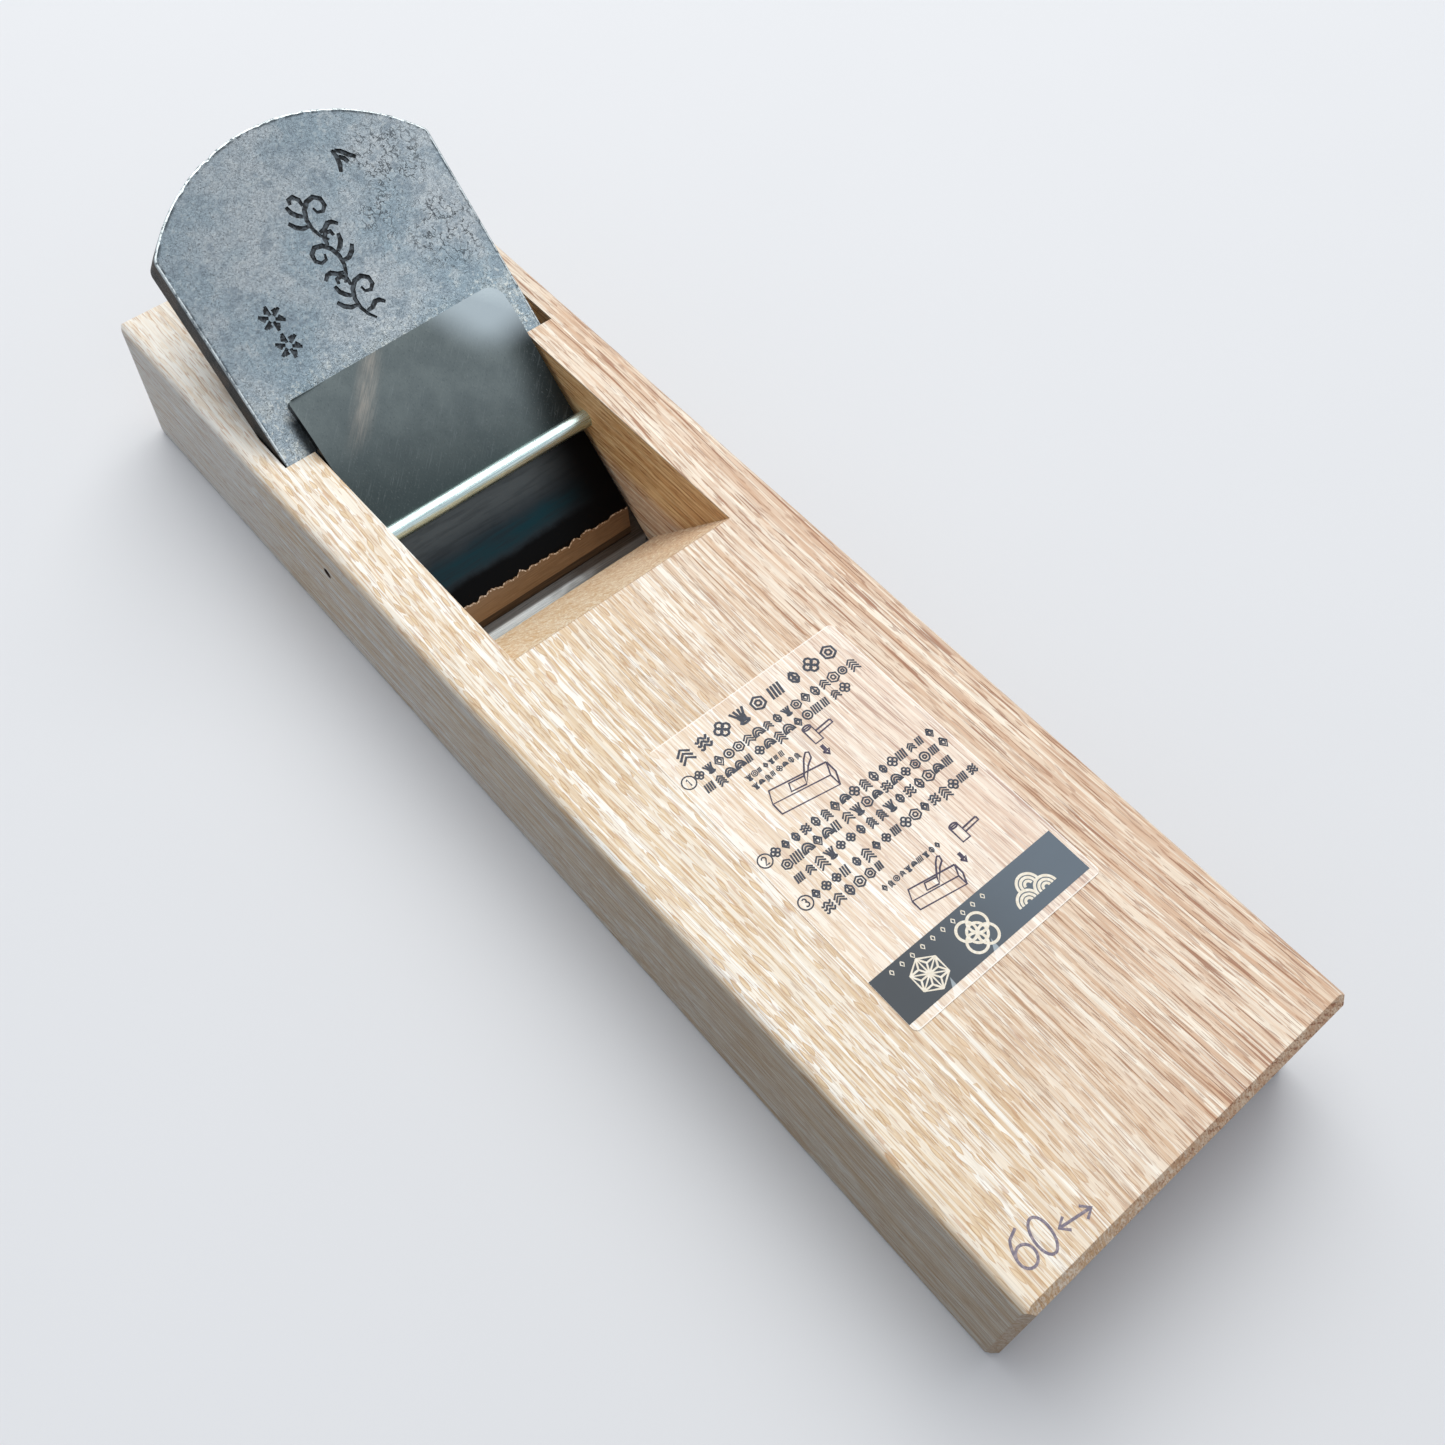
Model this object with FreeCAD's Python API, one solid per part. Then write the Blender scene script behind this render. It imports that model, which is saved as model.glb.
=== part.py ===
import FreeCAD, Part
import math
import os

Vec = FreeCAD.Vector

# Frame: millimetres, +Z up, origin in the middle of the sole.
# +X runs along the block, away from the blade's head. Y runs across the block.
# The block stands on its sole, and the wide blade lies in it on a slope.

# Shared
overrun = 5.0
full_turn = 360.0
quarter_turn = 90.0

# Oak block
block_length = 257.0
block_width = 75.0
block_height = 31.7
top_edge_radius = 2.0
sole_edge_chamfer = 0.8
end_chamfer = 1.5
corner_chamfer = 1.6

# Throat: the opening that the shavings leave through
ledge_from_rear = 56.2
throat_length = 64.2
cheek_thickness = 11.9
relief_height = 4.2
cheek_flare = 0.9
cheek_flare_height = 5.0

# Slope of the blade's flat face, and its fit in the block
face_slope = 38.0
wedge_angle = 1.3
groove_depth = 6.6
face_clearance = 0.12
bed_clearance = 0.1

# Blade
head_rise = 58.2
head_arc_rise = 14.2
head_corner_radius = 2.5
blade_side_play = 3.5
blade_head_spread = 1.1
blade_side_shift = -1.1
blade_root_thickness = 5.7
edge_above_sole = 0.5
mouth_gap = 1.35
bevel_angle = 28.0
edge_corner_across = 5.4
edge_corner_along = 6.5

# Hard steel layer, forge welded to the blade's flat face
steel_length = 47.0
steel_thickness = 1.8
hollow_radius = 21.0
hollow_depth = 0.35
hollow_centre_from_edge = 25.5

# Chisel-cut ornament on the blade's head
ornament_depth = 0.35
ornament_stroke = 1.05
scroll_size = 9.6
scroll_pitch = 8.5
scroll_first_along = 38.9
scroll_across = -1.2
star_size = 5.2
star_pitch = 5.8
star_first_along = 25.4
star_across = -18.6
star_stroke = 0.75
sprig_size = 4.6
sprig_along = 46.0
sprig_across = 11.2

# Chipbreaker: the small second iron on the blade's flat face
chip_setback = 4.2
chip_length = 57.2
chip_side_play = 1.0
chip_edge_taper = 0.8
chip_side_shift = -0.3
chip_thickness = 2.15
chip_top_skew = 1.2
chip_left_radius = 0.8
chip_right_radius = 3.6
chip_ear_drop = 0.9
chip_ear_length = 8.0
chip_bevel_length = 6.1
chip_edge_height = 0.35
chip_edge_length = 0.25
chip_corner_across = 1.5
chip_corner_along = 5.0
chip_steel_length = 26.0
chip_steel_thickness = 0.7
slide_gap = 0.05

# Pin that holds the chipbreaker down
pin_diameter = 3.7
pin_down_slope = 21.0
pin_gap = 0.12
pin_end_chamfer = 0.4
pin_fit = 0.02
deep_bore = 9.0
shallow_bore = 4.2
pin_in_deep_bore = 4.8
pin_end_gap = 0.2
knock_out_diameter = 2.0

# Clear label on the top, with a printed band at one end
label_length = 65.6
label_width = 43.1
label_thickness = 0.15
label_corner_radius = 1.0
label_from_front = 40.6
label_side_shift = 1.7
band_length = 9.2
band_width = 42.0
band_side_shift = 1.2
band_from_label_end = 1.6
band_thickness = 0.05

# Strokes of the ornament, as shares of each motif's size: across, along.
scroll_stroke_shares = (
    (
        (0.10, -0.56), (-0.02, -0.42), (-0.09, -0.24), (-0.10, -0.04), (-0.03, 0.15), (0.10, 0.28),
        (0.27, 0.31), (0.39, 0.22), (0.40, 0.07), (0.30, -0.02), (0.18, 0.01), (0.15, 0.12),
    ),
    ((-0.13, -0.16), (-0.26, -0.15), (-0.38, -0.07), (-0.47, 0.06)),
    ((-0.12, 0.05), (-0.22, 0.12), (-0.30, 0.22), (-0.33, 0.36)),
    ((0.00, -0.36), (0.13, -0.34), (0.25, -0.26), (0.34, -0.27), (0.44, -0.36)),
    ((-0.01, 0.24), (-0.02, 0.38), (-0.10, 0.48), (-0.21, 0.46), (-0.23, 0.36)),
)
sprig_stroke_shares = (
    ((-0.45, -0.50), (-0.32, -0.22), (-0.26, 0.10), (-0.30, 0.46)),
    ((-0.20, 0.40), (0.02, 0.26), (0.22, 0.04), (0.50, -0.20)),
    ((-0.18, 0.10), (0.00, -0.06), (0.08, -0.26)),
)
stroke_end_share = 0.3
star_rays = 6
star_inner_share = 0.12
star_outer_share = 0.5
star_web_share = 0.3


def throat_width():
    return block_width - 2 * cheek_thickness


def groove_span():
    """Width of the block's slot from the end of one groove to the other."""
    return throat_width() + 2 * groove_depth


def blade_width_at_edge():
    return groove_span() - blade_side_play


def blade_width_at_head():
    return blade_width_at_edge() + blade_head_spread


def chip_width_at_top():
    return throat_width() - chip_side_play


def chip_width_at_edge():
    return chip_width_at_top() - chip_edge_taper


def slope_cos():
    return math.cos(math.radians(face_slope))


def slope_sin():
    return math.sin(math.radians(face_slope))


def ledge_x():
    return ledge_from_rear - block_length / 2


def face_point(along, across, above):
    """Point measured from the ledge, up and out from the blade's flat face."""
    lift = above - face_clearance
    x = ledge_x() - along * slope_cos() + lift * slope_sin()
    z = block_height + along * slope_sin() + lift * slope_cos()
    return Vec(x, across, z)


def across_slope():
    """Unit direction square to the blade's flat face."""
    return Vec(slope_sin(), 0, slope_cos())


def edge_down():
    """Distance down the face from the ledge to the cutting edge."""
    return (block_height - face_clearance * slope_cos() - edge_above_sole) / slope_sin()


def wedge_rate():
    return math.tan(math.radians(wedge_angle))


def back_depth(along):
    """Thickness of the blade's wedge at a distance along its face."""
    return blade_root_thickness + wedge_rate() * (along + edge_down())


def bed_along_at(height):
    """Distance along the face at which the bed reaches a height."""
    root = blade_root_thickness + bed_clearance + wedge_rate() * edge_down()
    drop = block_height - (face_clearance + root) * slope_cos()
    return (height - drop) / (slope_sin() - wedge_rate() * slope_cos())


def bed_point(height):
    along = bed_along_at(height)
    return face_point(along, 0, -back_depth(along) - bed_clearance)


def groove_wall_point(height):
    """Point at a height on the wall that holds the blade's face down."""
    return face_point((height - block_height) / slope_sin(), 0, face_clearance)


def mouth_x():
    return face_point(-edge_down(), 0, 0).x + mouth_gap


def chip_tip_along():
    return chip_setback - edge_down()


def chip_top_along():
    return chip_tip_along() + chip_length


def chip_under(along):
    """Height of the chipbreaker's underside over the blade's face."""
    return slide_gap + chip_ear_drop * (along - chip_tip_along()) / chip_length


def chip_over(along):
    return chip_under(along) + chip_thickness


def pin_centre():
    above = chip_over(-pin_down_slope) + pin_gap + pin_diameter / 2
    return face_point(-pin_down_slope, 0, above)


def closed_face(points):
    return Part.Face(Part.makePolygon(points + points[:1]))


def prism_across(points, from_y, to_y):
    """Outline in the XZ plane, pushed across the block."""
    outline = [Vec(p.x, from_y, p.z) for p in points]
    return closed_face(outline).extrude(Vec(0, to_y - from_y, 0))


def slab_on_face(edges, low, high):
    """Outline drawn on the blade's face, pushed square to it from low to high."""
    face = Part.Face(Part.Wire(edges))
    face.translate(across_slope() * low)
    return face.extrude(across_slope() * (high - low))


def line_loop(points):
    return [Part.makeLine(a, b) for a, b in zip(points, points[1:] + points[:1])]


def aside(edge, corner):
    """Distance of an edge's middle from the line square to the face at a corner."""
    middle = edge.valueAt((edge.FirstParameter + edge.LastParameter) / 2)
    offset = middle - corner
    return (offset - across_slope() * offset.dot(across_slope())).Length


def edges_at(shape, corners):
    """For each corner, the edge that runs square to the face through it."""
    return [min(shape.Edges, key=lambda edge: aside(edge, corner)) for corner in corners]


def block_section():
    """Cross-section of the block, with rounded top edges."""
    half = block_width / 2
    low = sole_edge_chamfer
    high = block_height - top_edge_radius
    inner = half - top_edge_radius
    bend = top_edge_radius * math.sqrt(0.5)
    x = -block_length / 2
    right = Part.Arc(
        Vec(x, half, high),
        Vec(x, inner + bend, high + bend),
        Vec(x, inner, block_height),
    ).toShape()
    left = Part.Arc(
        Vec(x, -inner, block_height),
        Vec(x, -inner - bend, high + bend),
        Vec(x, -half, high),
    ).toShape()
    sole = half - sole_edge_chamfer
    edges = [
        Part.makeLine(Vec(x, sole, 0), Vec(x, half, low)),
        Part.makeLine(Vec(x, half, low), Vec(x, half, high)),
        right,
        Part.makeLine(Vec(x, inner, block_height), Vec(x, -inner, block_height)),
        left,
        Part.makeLine(Vec(x, -half, high), Vec(x, -half, low)),
        Part.makeLine(Vec(x, -half, low), Vec(x, -sole, 0)),
        Part.makeLine(Vec(x, -sole, 0), Vec(x, sole, 0)),
    ]
    return Part.Face(Part.Wire(edges))


def block_blank():
    """Planed block with chamfered ends and corners."""
    body = block_section().extrude(Vec(block_length, 0, 0))
    end = block_length / 2
    side = block_width / 2
    top = block_height
    profile = [
        Vec(-end, 0, sole_edge_chamfer),
        Vec(-end + sole_edge_chamfer, 0, 0),
        Vec(end - sole_edge_chamfer, 0, 0),
        Vec(end, 0, sole_edge_chamfer),
        Vec(end, 0, top - end_chamfer),
        Vec(end - end_chamfer, 0, top),
        Vec(-end + end_chamfer, 0, top),
        Vec(-end, 0, top - end_chamfer),
    ]
    plan = [
        Vec(-end, -side + corner_chamfer, 0),
        Vec(-end + corner_chamfer, -side, 0),
        Vec(end - corner_chamfer, -side, 0),
        Vec(end, -side + corner_chamfer, 0),
        Vec(end, side - corner_chamfer, 0),
        Vec(end - corner_chamfer, side, 0),
        Vec(-end + corner_chamfer, side, 0),
        Vec(-end, side - corner_chamfer, 0),
    ]
    body = body.common(prism_across(profile, -side, side))
    return body.common(closed_face(plan).extrude(Vec(0, 0, top)))


def blade_pocket():
    """Sloping slot for the blade, with a groove at each side."""
    half = groove_span() / 2
    outline = [
        bed_point(block_height + overrun),
        groove_wall_point(block_height + overrun),
        groove_wall_point(-overrun),
        bed_point(-overrun),
    ]
    return prism_across(outline, -half, half)


def throat_cutter():
    """Space in front of the blade, narrowing a little towards the mouth."""
    half = throat_width() / 2
    front_x = ledge_x() + throat_length
    rate = (front_x - mouth_x()) / (block_height - relief_height)
    high = block_height + overrun
    outline = [
        (bed_point(high) + groove_wall_point(high)) / 2,
        Vec(front_x + overrun * rate, 0, high),
        Vec(mouth_x(), 0, relief_height),
        Vec(mouth_x(), 0, -overrun),
        (bed_point(-overrun) + groove_wall_point(-overrun)) / 2,
    ]
    cutter = prism_across(outline, -half, half)
    for side in (-1, 1):
        cutter = cutter.cut(cheek_foot(side))
    return cutter


def cheek_foot(side):
    """Low wedge of wood that narrows the throat at the mouth."""
    half = throat_width() / 2
    x = -block_length / 2
    outline = [
        Vec(x, side * half, cheek_flare_height),
        Vec(x, side * (half - cheek_flare), 0),
        Vec(x, side * (half - cheek_flare), -overrun),
        Vec(x, side * (half + overrun), -overrun),
        Vec(x, side * (half + overrun), cheek_flare_height),
    ]
    return closed_face(outline).extrude(Vec(block_length, 0, 0))


def pin_bores():
    """Deep bore in one cheek, shallow bore in the other, and the knock-out hole."""
    centre = pin_centre()
    half = throat_width() / 2
    radius = pin_diameter / 2 + pin_fit
    low = -half - deep_bore
    reach = half + shallow_bore - low
    seat = Part.makeCylinder(radius, reach, Vec(centre.x, low, centre.z), Vec(0, 1, 0))
    outside = -block_width / 2 - overrun
    hole = Part.makeCylinder(
        knock_out_diameter / 2,
        low + overrun - outside,
        Vec(centre.x, outside, centre.z),
        Vec(0, 1, 0),
    )
    return seat.fuse(hole)


def make_block():
    block = block_blank().cut(blade_pocket())
    block = block.cut(throat_cutter())
    return block.cut(pin_bores())


def blade_side_profile():
    """Blade seen from the side: flat face, bevel and wedge-shaped back."""
    tip = -edge_down()
    turn = math.radians(bevel_angle)
    bevel = blade_root_thickness / (math.sin(turn) - wedge_rate() * math.cos(turn))
    heel = tip + bevel * math.cos(turn)
    return [
        face_point(tip, 0, 0),
        face_point(head_rise + overrun, 0, 0),
        face_point(head_rise + overrun, 0, -back_depth(head_rise + overrun)),
        face_point(heel, 0, -back_depth(heel)),
    ]


def blade_plan_slab():
    """Blade seen square to its face: tapered sides, round head, clipped corners."""
    tip = -edge_down()
    shoulder = head_rise - head_arc_rise
    low = blade_width_at_edge() / 2
    high = blade_width_at_head() / 2
    middle = blade_side_shift

    def at(along, across):
        return face_point(along, middle + across, 0)

    corners = [
        at(shoulder, high),
        at(tip + edge_corner_along, low),
        at(tip, low - edge_corner_across),
        at(tip, edge_corner_across - low),
        at(tip + edge_corner_along, -low),
        at(shoulder, -high),
    ]
    edges = [Part.makeLine(a, b) for a, b in zip(corners, corners[1:])]
    head = Part.Arc(corners[-1], at(head_rise, 0), corners[0]).toShape()
    depth = back_depth(head_rise) + overrun
    slab = slab_on_face(edges + [head], -depth, overrun)
    shoulders = edges_at(slab, [corners[0], corners[-1]])
    return slab.makeFillet(head_corner_radius, shoulders)


def blade_whole():
    reach = block_width / 2 + overrun
    return prism_across(blade_side_profile(), -reach, reach).common(blade_plan_slab())


def steel_zone():
    """Space that the hard layer takes in the blade."""
    tip = -edge_down()
    outline = [
        face_point(tip - overrun, 0, -steel_thickness),
        face_point(tip - overrun, 0, overrun),
        face_point(tip + steel_length, 0, overrun),
        face_point(tip + steel_length, 0, -steel_thickness),
    ]
    reach = block_width / 2 + overrun
    return prism_across(outline, -reach, reach)


def face_hollow():
    """Shallow round hollow ground in the flat face."""
    radius = (hollow_radius**2 + hollow_depth**2) / (2 * hollow_depth)
    along = hollow_centre_from_edge - edge_down()
    centre = face_point(along, blade_side_shift, radius - hollow_depth)
    return Part.makeSphere(radius, centre, across_slope())


def make_blade_steel():
    return blade_whole().common(steel_zone()).cut(face_hollow())


def make_blade_iron():
    iron = blade_whole().cut(steel_zone())
    return iron.cut(ornament())


def stroke_cut(path, width):
    """One chisel cut that thins at both ends, along a path of across, along pairs."""
    count = len(path)
    left = []
    right = []
    for i, (across, along) in enumerate(path):
        before = path[max(i - 1, 0)]
        after = path[min(i + 1, count - 1)]
        run_across = after[0] - before[0]
        run_along = after[1] - before[1]
        run = math.hypot(run_across, run_along)
        fullness = math.sin(math.pi * (i + 1) / (count + 1))
        half = width / 2 * (stroke_end_share + (1 - stroke_end_share) * fullness)
        side_across = -run_along / run * half
        side_along = run_across / run * half
        left.append(face_point(along + side_along, across + side_across, 0))
        right.append(face_point(along - side_along, across - side_across, 0))
    return slab_on_face(line_loop(left + right[::-1]), -ornament_depth, overrun)


def motif_cuts(stroke_shares, size, width, along, across, flip):
    cuts = []
    for shares in stroke_shares:
        path = [(across + flip * size * a, along + size * b) for a, b in shares]
        cuts.append(stroke_cut(path, width))
    return cuts


def star_shares():
    """Rays and webs of a six-pointed hemp leaf star."""
    strokes = []
    step = full_turn / star_rays
    for i in range(star_rays):
        turn = math.radians(quarter_turn + i * step)
        beside = math.radians(quarter_turn + (i + 1) * step)
        ray = (math.cos(turn), math.sin(turn))
        next_ray = (math.cos(beside), math.sin(beside))
        middle = ((ray[0] + next_ray[0]) / 2, (ray[1] + next_ray[1]) / 2)
        inner = tuple(star_inner_share * c for c in ray)
        outer = tuple(star_outer_share * c for c in ray)
        web = tuple(star_web_share * c for c in middle)
        strokes.append((inner, outer))
        strokes.append((web, tuple((w + 2 * o) / 3 for w, o in zip(web, outer))))
    return strokes


def ornament():
    """All chisel cuts: a scrolling vine, two small stars and a sprig."""
    cuts = []
    for i, flip in enumerate((1, -1, 1)):
        along = scroll_first_along - i * scroll_pitch
        cuts += motif_cuts(
            scroll_stroke_shares, scroll_size, ornament_stroke, along, scroll_across, flip
        )
    for i in range(2):
        along = star_first_along - i * star_pitch
        cuts += motif_cuts(star_shares(), star_size, star_stroke, along, star_across, 1)
    cuts += motif_cuts(
        sprig_stroke_shares, sprig_size, ornament_stroke, sprig_along, sprig_across, 1
    )
    return Part.makeCompound(cuts)


def chip_plate():
    """Chipbreaker seen from the side, pushed across, with its bevel."""
    tip = chip_tip_along()
    far = chip_top_along() + overrun
    bevel_top = tip + chip_bevel_length
    outline = [
        face_point(tip, 0, chip_under(tip)),
        face_point(far, 0, chip_under(far)),
        face_point(far, 0, chip_over(far)),
        face_point(bevel_top, 0, chip_over(bevel_top)),
        face_point(tip + chip_edge_length, 0, chip_under(tip) + chip_edge_height),
    ]
    reach = block_width / 2
    return prism_across(outline, -reach, reach)


def chip_corner(side):
    """Top corner of the chipbreaker before it is rounded: along, across."""
    along = chip_top_along() + side * chip_top_skew / 2
    return along, chip_side_shift + side * chip_width_at_top() / 2


def ear_pyramid(side, height_at, drop):
    """Pyramid from a triangle at a top corner down to a point under the corner."""
    along, across = chip_corner(side)
    base_along = along - chip_ear_length
    base_across = across - side * chip_ear_length
    base = [
        face_point(along, across, height_at(along)),
        face_point(base_along, across, height_at(base_along)),
        face_point(along, base_across, height_at(along)),
    ]
    low = face_point(along, across, height_at(along) - drop)
    wire = Part.makePolygon(base + base[:1])
    return Part.makeLoft([wire, Part.Vertex(low)], True, True)


def chip_plan_slab():
    """Chipbreaker seen square to the blade's face."""
    tip = chip_tip_along()
    half = chip_width_at_edge() / 2
    middle = chip_side_shift
    left_along, left = chip_corner(-1)
    right_along, right = chip_corner(1)
    corners = [
        face_point(right_along, right, 0),
        face_point(tip + chip_corner_along, middle + half, 0),
        face_point(tip, middle + half - chip_corner_across, 0),
        face_point(tip, middle - half + chip_corner_across, 0),
        face_point(tip + chip_corner_along, middle - half, 0),
        face_point(left_along, left, 0),
    ]
    slab = slab_on_face(line_loop(corners), -overrun, chip_thickness + overrun)
    slab = slab.makeFillet(chip_right_radius, edges_at(slab, [corners[0]]))
    return slab.makeFillet(chip_left_radius, edges_at(slab, [corners[-1]]))


def chip_whole():
    chip = chip_plate()
    for side in (-1, 1):
        chip = chip.fuse(ear_pyramid(side, chip_under, chip_ear_drop))
        chip = chip.cut(ear_pyramid(side, chip_over, chip_ear_drop))
    return chip.removeSplitter().common(chip_plan_slab())


def chip_steel_zone():
    """Space that the hard layer takes on the chipbreaker's underside."""
    tip = chip_tip_along()
    near = tip - overrun
    far = tip + chip_steel_length
    outline = [
        face_point(near, 0, chip_under(near) - overrun),
        face_point(near, 0, chip_under(near) + chip_steel_thickness),
        face_point(far, 0, chip_under(far) + chip_steel_thickness),
        face_point(far, 0, chip_under(far) - overrun),
    ]
    reach = block_width / 2
    return prism_across(outline, -reach, reach)


def make_chip_iron():
    return chip_whole().cut(chip_steel_zone())


def make_chip_steel():
    return chip_whole().common(chip_steel_zone())


def make_pin():
    """Round steel pin, pushed across from the shallow bore into the deep one."""
    centre = pin_centre()
    half = throat_width() / 2
    start = -half - pin_in_deep_bore
    length = half + shallow_bore - pin_end_gap - start
    pin = Part.makeCylinder(
        pin_diameter / 2, length, Vec(centre.x, start, centre.z), Vec(0, 1, 0)
    )
    rims = [edge for edge in pin.Edges if edge.Closed]
    return pin.makeChamfer(pin_end_chamfer, rims)


def plate_on_top(length, width, thickness, far_end, middle, base, radius):
    """Thin plate on the block's top, ending at far_end along the block."""
    corner = Vec(far_end - length, middle - width / 2, base)
    plate = Part.makeBox(length, width, thickness, corner)
    upright = [edge for edge in plate.Edges if abs(edge.tangentAt(0).z) > 0]
    if radius > 0:
        plate = plate.makeFillet(radius, upright)
    return plate


def label_end():
    return block_length / 2 - label_from_front


def make_label_film():
    return plate_on_top(
        label_length,
        label_width,
        label_thickness,
        label_end(),
        label_side_shift,
        block_height,
        label_corner_radius,
    )


def make_label_band():
    base = block_height + label_thickness
    end = label_end() - band_from_label_end
    return plate_on_top(
        band_length, band_width, band_thickness, end, band_side_shift, base, 0
    )


parts = {
    "dai_block": make_block,
    "blade_iron": make_blade_iron,
    "blade_steel": make_blade_steel,
    "chipbreaker_iron": make_chip_iron,
    "chipbreaker_steel": make_chip_steel,
    "retaining_pin": make_pin,
    "label_film": make_label_film,
    "label_band": make_label_band,
}

os.makedirs("parts", exist_ok=True)
for name, make in parts.items():
    shape = make()
    if len(shape.Solids) == 1:
        shape = shape.Solids[0]
    shape.exportStep("parts/" + name + ".step")
    box = shape.BoundBox
    print(
        f"{name:18s} solids {len(shape.Solids)} valid {shape.isValid()}"
        f" volume {shape.Volume:10.1f}"
        f" x {box.XMin:7.2f} {box.XMax:7.2f}"
        f" y {box.YMin:7.2f} {box.YMax:7.2f}"
        f" z {box.ZMin:7.2f} {box.ZMax:7.2f}"
    )
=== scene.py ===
# %% [markdown]
# # A Japanese hand plane, dressed for its picture
# The plane comes in as solids that already have their real size and place.
# Here each of them gets its finish: open-pored oak, forged iron, ground steel, a drawn pin and
# a clear printed label. Small shapes that only the eye needs, such as a chipped rim, are added.

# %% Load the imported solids
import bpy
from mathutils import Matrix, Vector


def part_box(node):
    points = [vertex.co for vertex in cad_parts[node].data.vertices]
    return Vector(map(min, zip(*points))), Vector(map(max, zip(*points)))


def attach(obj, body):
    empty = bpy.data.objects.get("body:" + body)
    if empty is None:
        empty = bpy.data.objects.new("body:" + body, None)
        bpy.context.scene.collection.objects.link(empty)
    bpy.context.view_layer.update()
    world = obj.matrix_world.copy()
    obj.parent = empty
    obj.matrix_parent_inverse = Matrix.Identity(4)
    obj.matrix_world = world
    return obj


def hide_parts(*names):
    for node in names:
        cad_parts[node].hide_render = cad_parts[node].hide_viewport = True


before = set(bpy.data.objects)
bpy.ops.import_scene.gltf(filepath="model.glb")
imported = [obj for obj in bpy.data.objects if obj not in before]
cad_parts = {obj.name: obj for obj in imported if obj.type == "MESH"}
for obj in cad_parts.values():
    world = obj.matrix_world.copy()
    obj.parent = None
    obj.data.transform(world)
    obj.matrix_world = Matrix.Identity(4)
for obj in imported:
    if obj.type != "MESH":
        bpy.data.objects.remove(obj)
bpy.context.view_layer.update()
print("solids:", ", ".join(sorted(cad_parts)))

# %% Tools from Blender and Python
import math
import bmesh
import bpy
from mathutils import Matrix, Vector, noise

MM = 0.001

# %% [markdown]
# ## Sizes that the finishes follow
# The blade lies in the block at a slope, and its flat face looks up and forward.
# Most marks on it are easiest to place along and across that face, so its slope and the
# place where it leaves the top of the block are named once. The place follows the block's own box.

# %% The block's box and the blade's flat face
block_low, block_high = (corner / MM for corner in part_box("dai_block"))
film_low, film_high = (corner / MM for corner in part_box("label_film"))
band_low, band_high = (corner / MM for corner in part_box("label_band"))
block_top = block_high.z
face_slope = math.radians(38)
ledge_from_rear = 56.2
face_clearance = 0.12
up_the_face = Vector((-math.cos(face_slope), 0, math.sin(face_slope)))
out_of_the_face = Vector((math.sin(face_slope), 0, math.cos(face_slope)))
ledge = Vector((block_low.x + ledge_from_rear, 0, block_top)) - out_of_the_face * face_clearance
print("block", [round(side, 1) for side in block_high - block_low], "mm, ledge at x", round(ledge.x, 1))


def place_on_blade(point):
    """How far a point (in mm) lies along, across and above the blade's flat face."""
    offset = point - ledge
    return offset.dot(up_the_face), point.y, offset.dot(out_of_the_face)


# %% [markdown]
# ## Wiring helpers
# A finish is a small network of nodes. Written out node by node it is long and hard to read,
# so each helper adds one node and gives back the socket with its result. Blender's sockets can't
# be added or multiplied in Python, so they are taught to here: each sum, difference or product
# adds one math node. A finish then reads like a formula.

# %% A colour from screen values
def paint(red, green, blue):
    """A colour picked as 0 to 255 screen values, as the linear values that a shader uses."""

    def linear(level):
        share = level / 255
        return share / 12.92 if share <= 0.04045 else ((share + 0.055) / 1.055) ** 2.4

    return linear(red), linear(green), linear(blue), 1.0


# %% Add a node
def feed(socket, value):
    """Gives an input a plain value or another node's result."""
    if isinstance(value, bpy.types.NodeSocket):
        socket.id_data.links.new(value, socket)
    else:
        socket.default_value = value


def new_node(tree, kind, inputs=None, **settings):
    """Adds a node to a tree."""
    made = tree.nodes.new(kind)
    for name, value in settings.items():
        setattr(made, name, value)
    for key, value in (inputs or {}).items():
        feed(made.inputs[key], value)
    return made


def node(kind, inputs, **settings):
    """Adds a node to the tree that its inputs come from, and gives its outputs."""
    tree = next(value.id_data for value in inputs.values() if isinstance(value, bpy.types.NodeSocket))
    return new_node(tree, kind, inputs, **settings).outputs


# %% Sums and products of results
def math_node(what, first, second=0.5):
    return node("ShaderNodeMath", {0: first, 1: second}, operation=what)[0]


# Python looks here when a result stands left or right of a sign.
socket = bpy.types.NodeSocket
socket.__add__ = lambda first, second: math_node("ADD", first, second)
socket.__radd__ = lambda second, first: math_node("ADD", first, second)
socket.__sub__ = lambda first, second: math_node("SUBTRACT", first, second)
socket.__rsub__ = lambda second, first: math_node("SUBTRACT", first, second)
socket.__mul__ = lambda first, second: math_node("MULTIPLY", first, second)
socket.__rmul__ = lambda second, first: math_node("MULTIPLY", first, second)
socket.__abs__ = lambda only: math_node("ABSOLUTE", only)


# %% Soft steps
def grade(value, low, high, start=0.0, end=1.0):
    """A soft step: start below low, end above high."""
    inputs = {0: value, 1: low, 2: high, 3: start, 4: end}
    return node("ShaderNodeMapRange", inputs, interpolation_type="SMOOTHSTEP")[0]


def between(share, start, end):
    """Start where a share is zero and end where it is one."""
    return grade(share, 0.0, 1.0, start, end)


def hump(value, low, high, soft):
    """One between low and high, with soft edges."""
    return grade(value, low - soft, low + soft) * (1 - grade(value, high - soft, high + soft))


# %% Places and directions
def vector_math(what, first, second=(0, 0, 0)):
    return node("ShaderNodeVectorMath", {0: first, 1: second}, operation=what)


def join(x, y, z=0.0):
    return node("ShaderNodeCombineXYZ", {0: x, 1: y, 2: z})[0]


def split(vector):
    return node("ShaderNodeSeparateXYZ", {0: vector})


def length_of(vector):
    return vector_math("LENGTH", vector)["Value"]


def reach_along(vector, line):
    """How far a vector reaches along a line."""
    return vector_math("DOT_PRODUCT", vector, tuple(line))["Value"]


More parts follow.
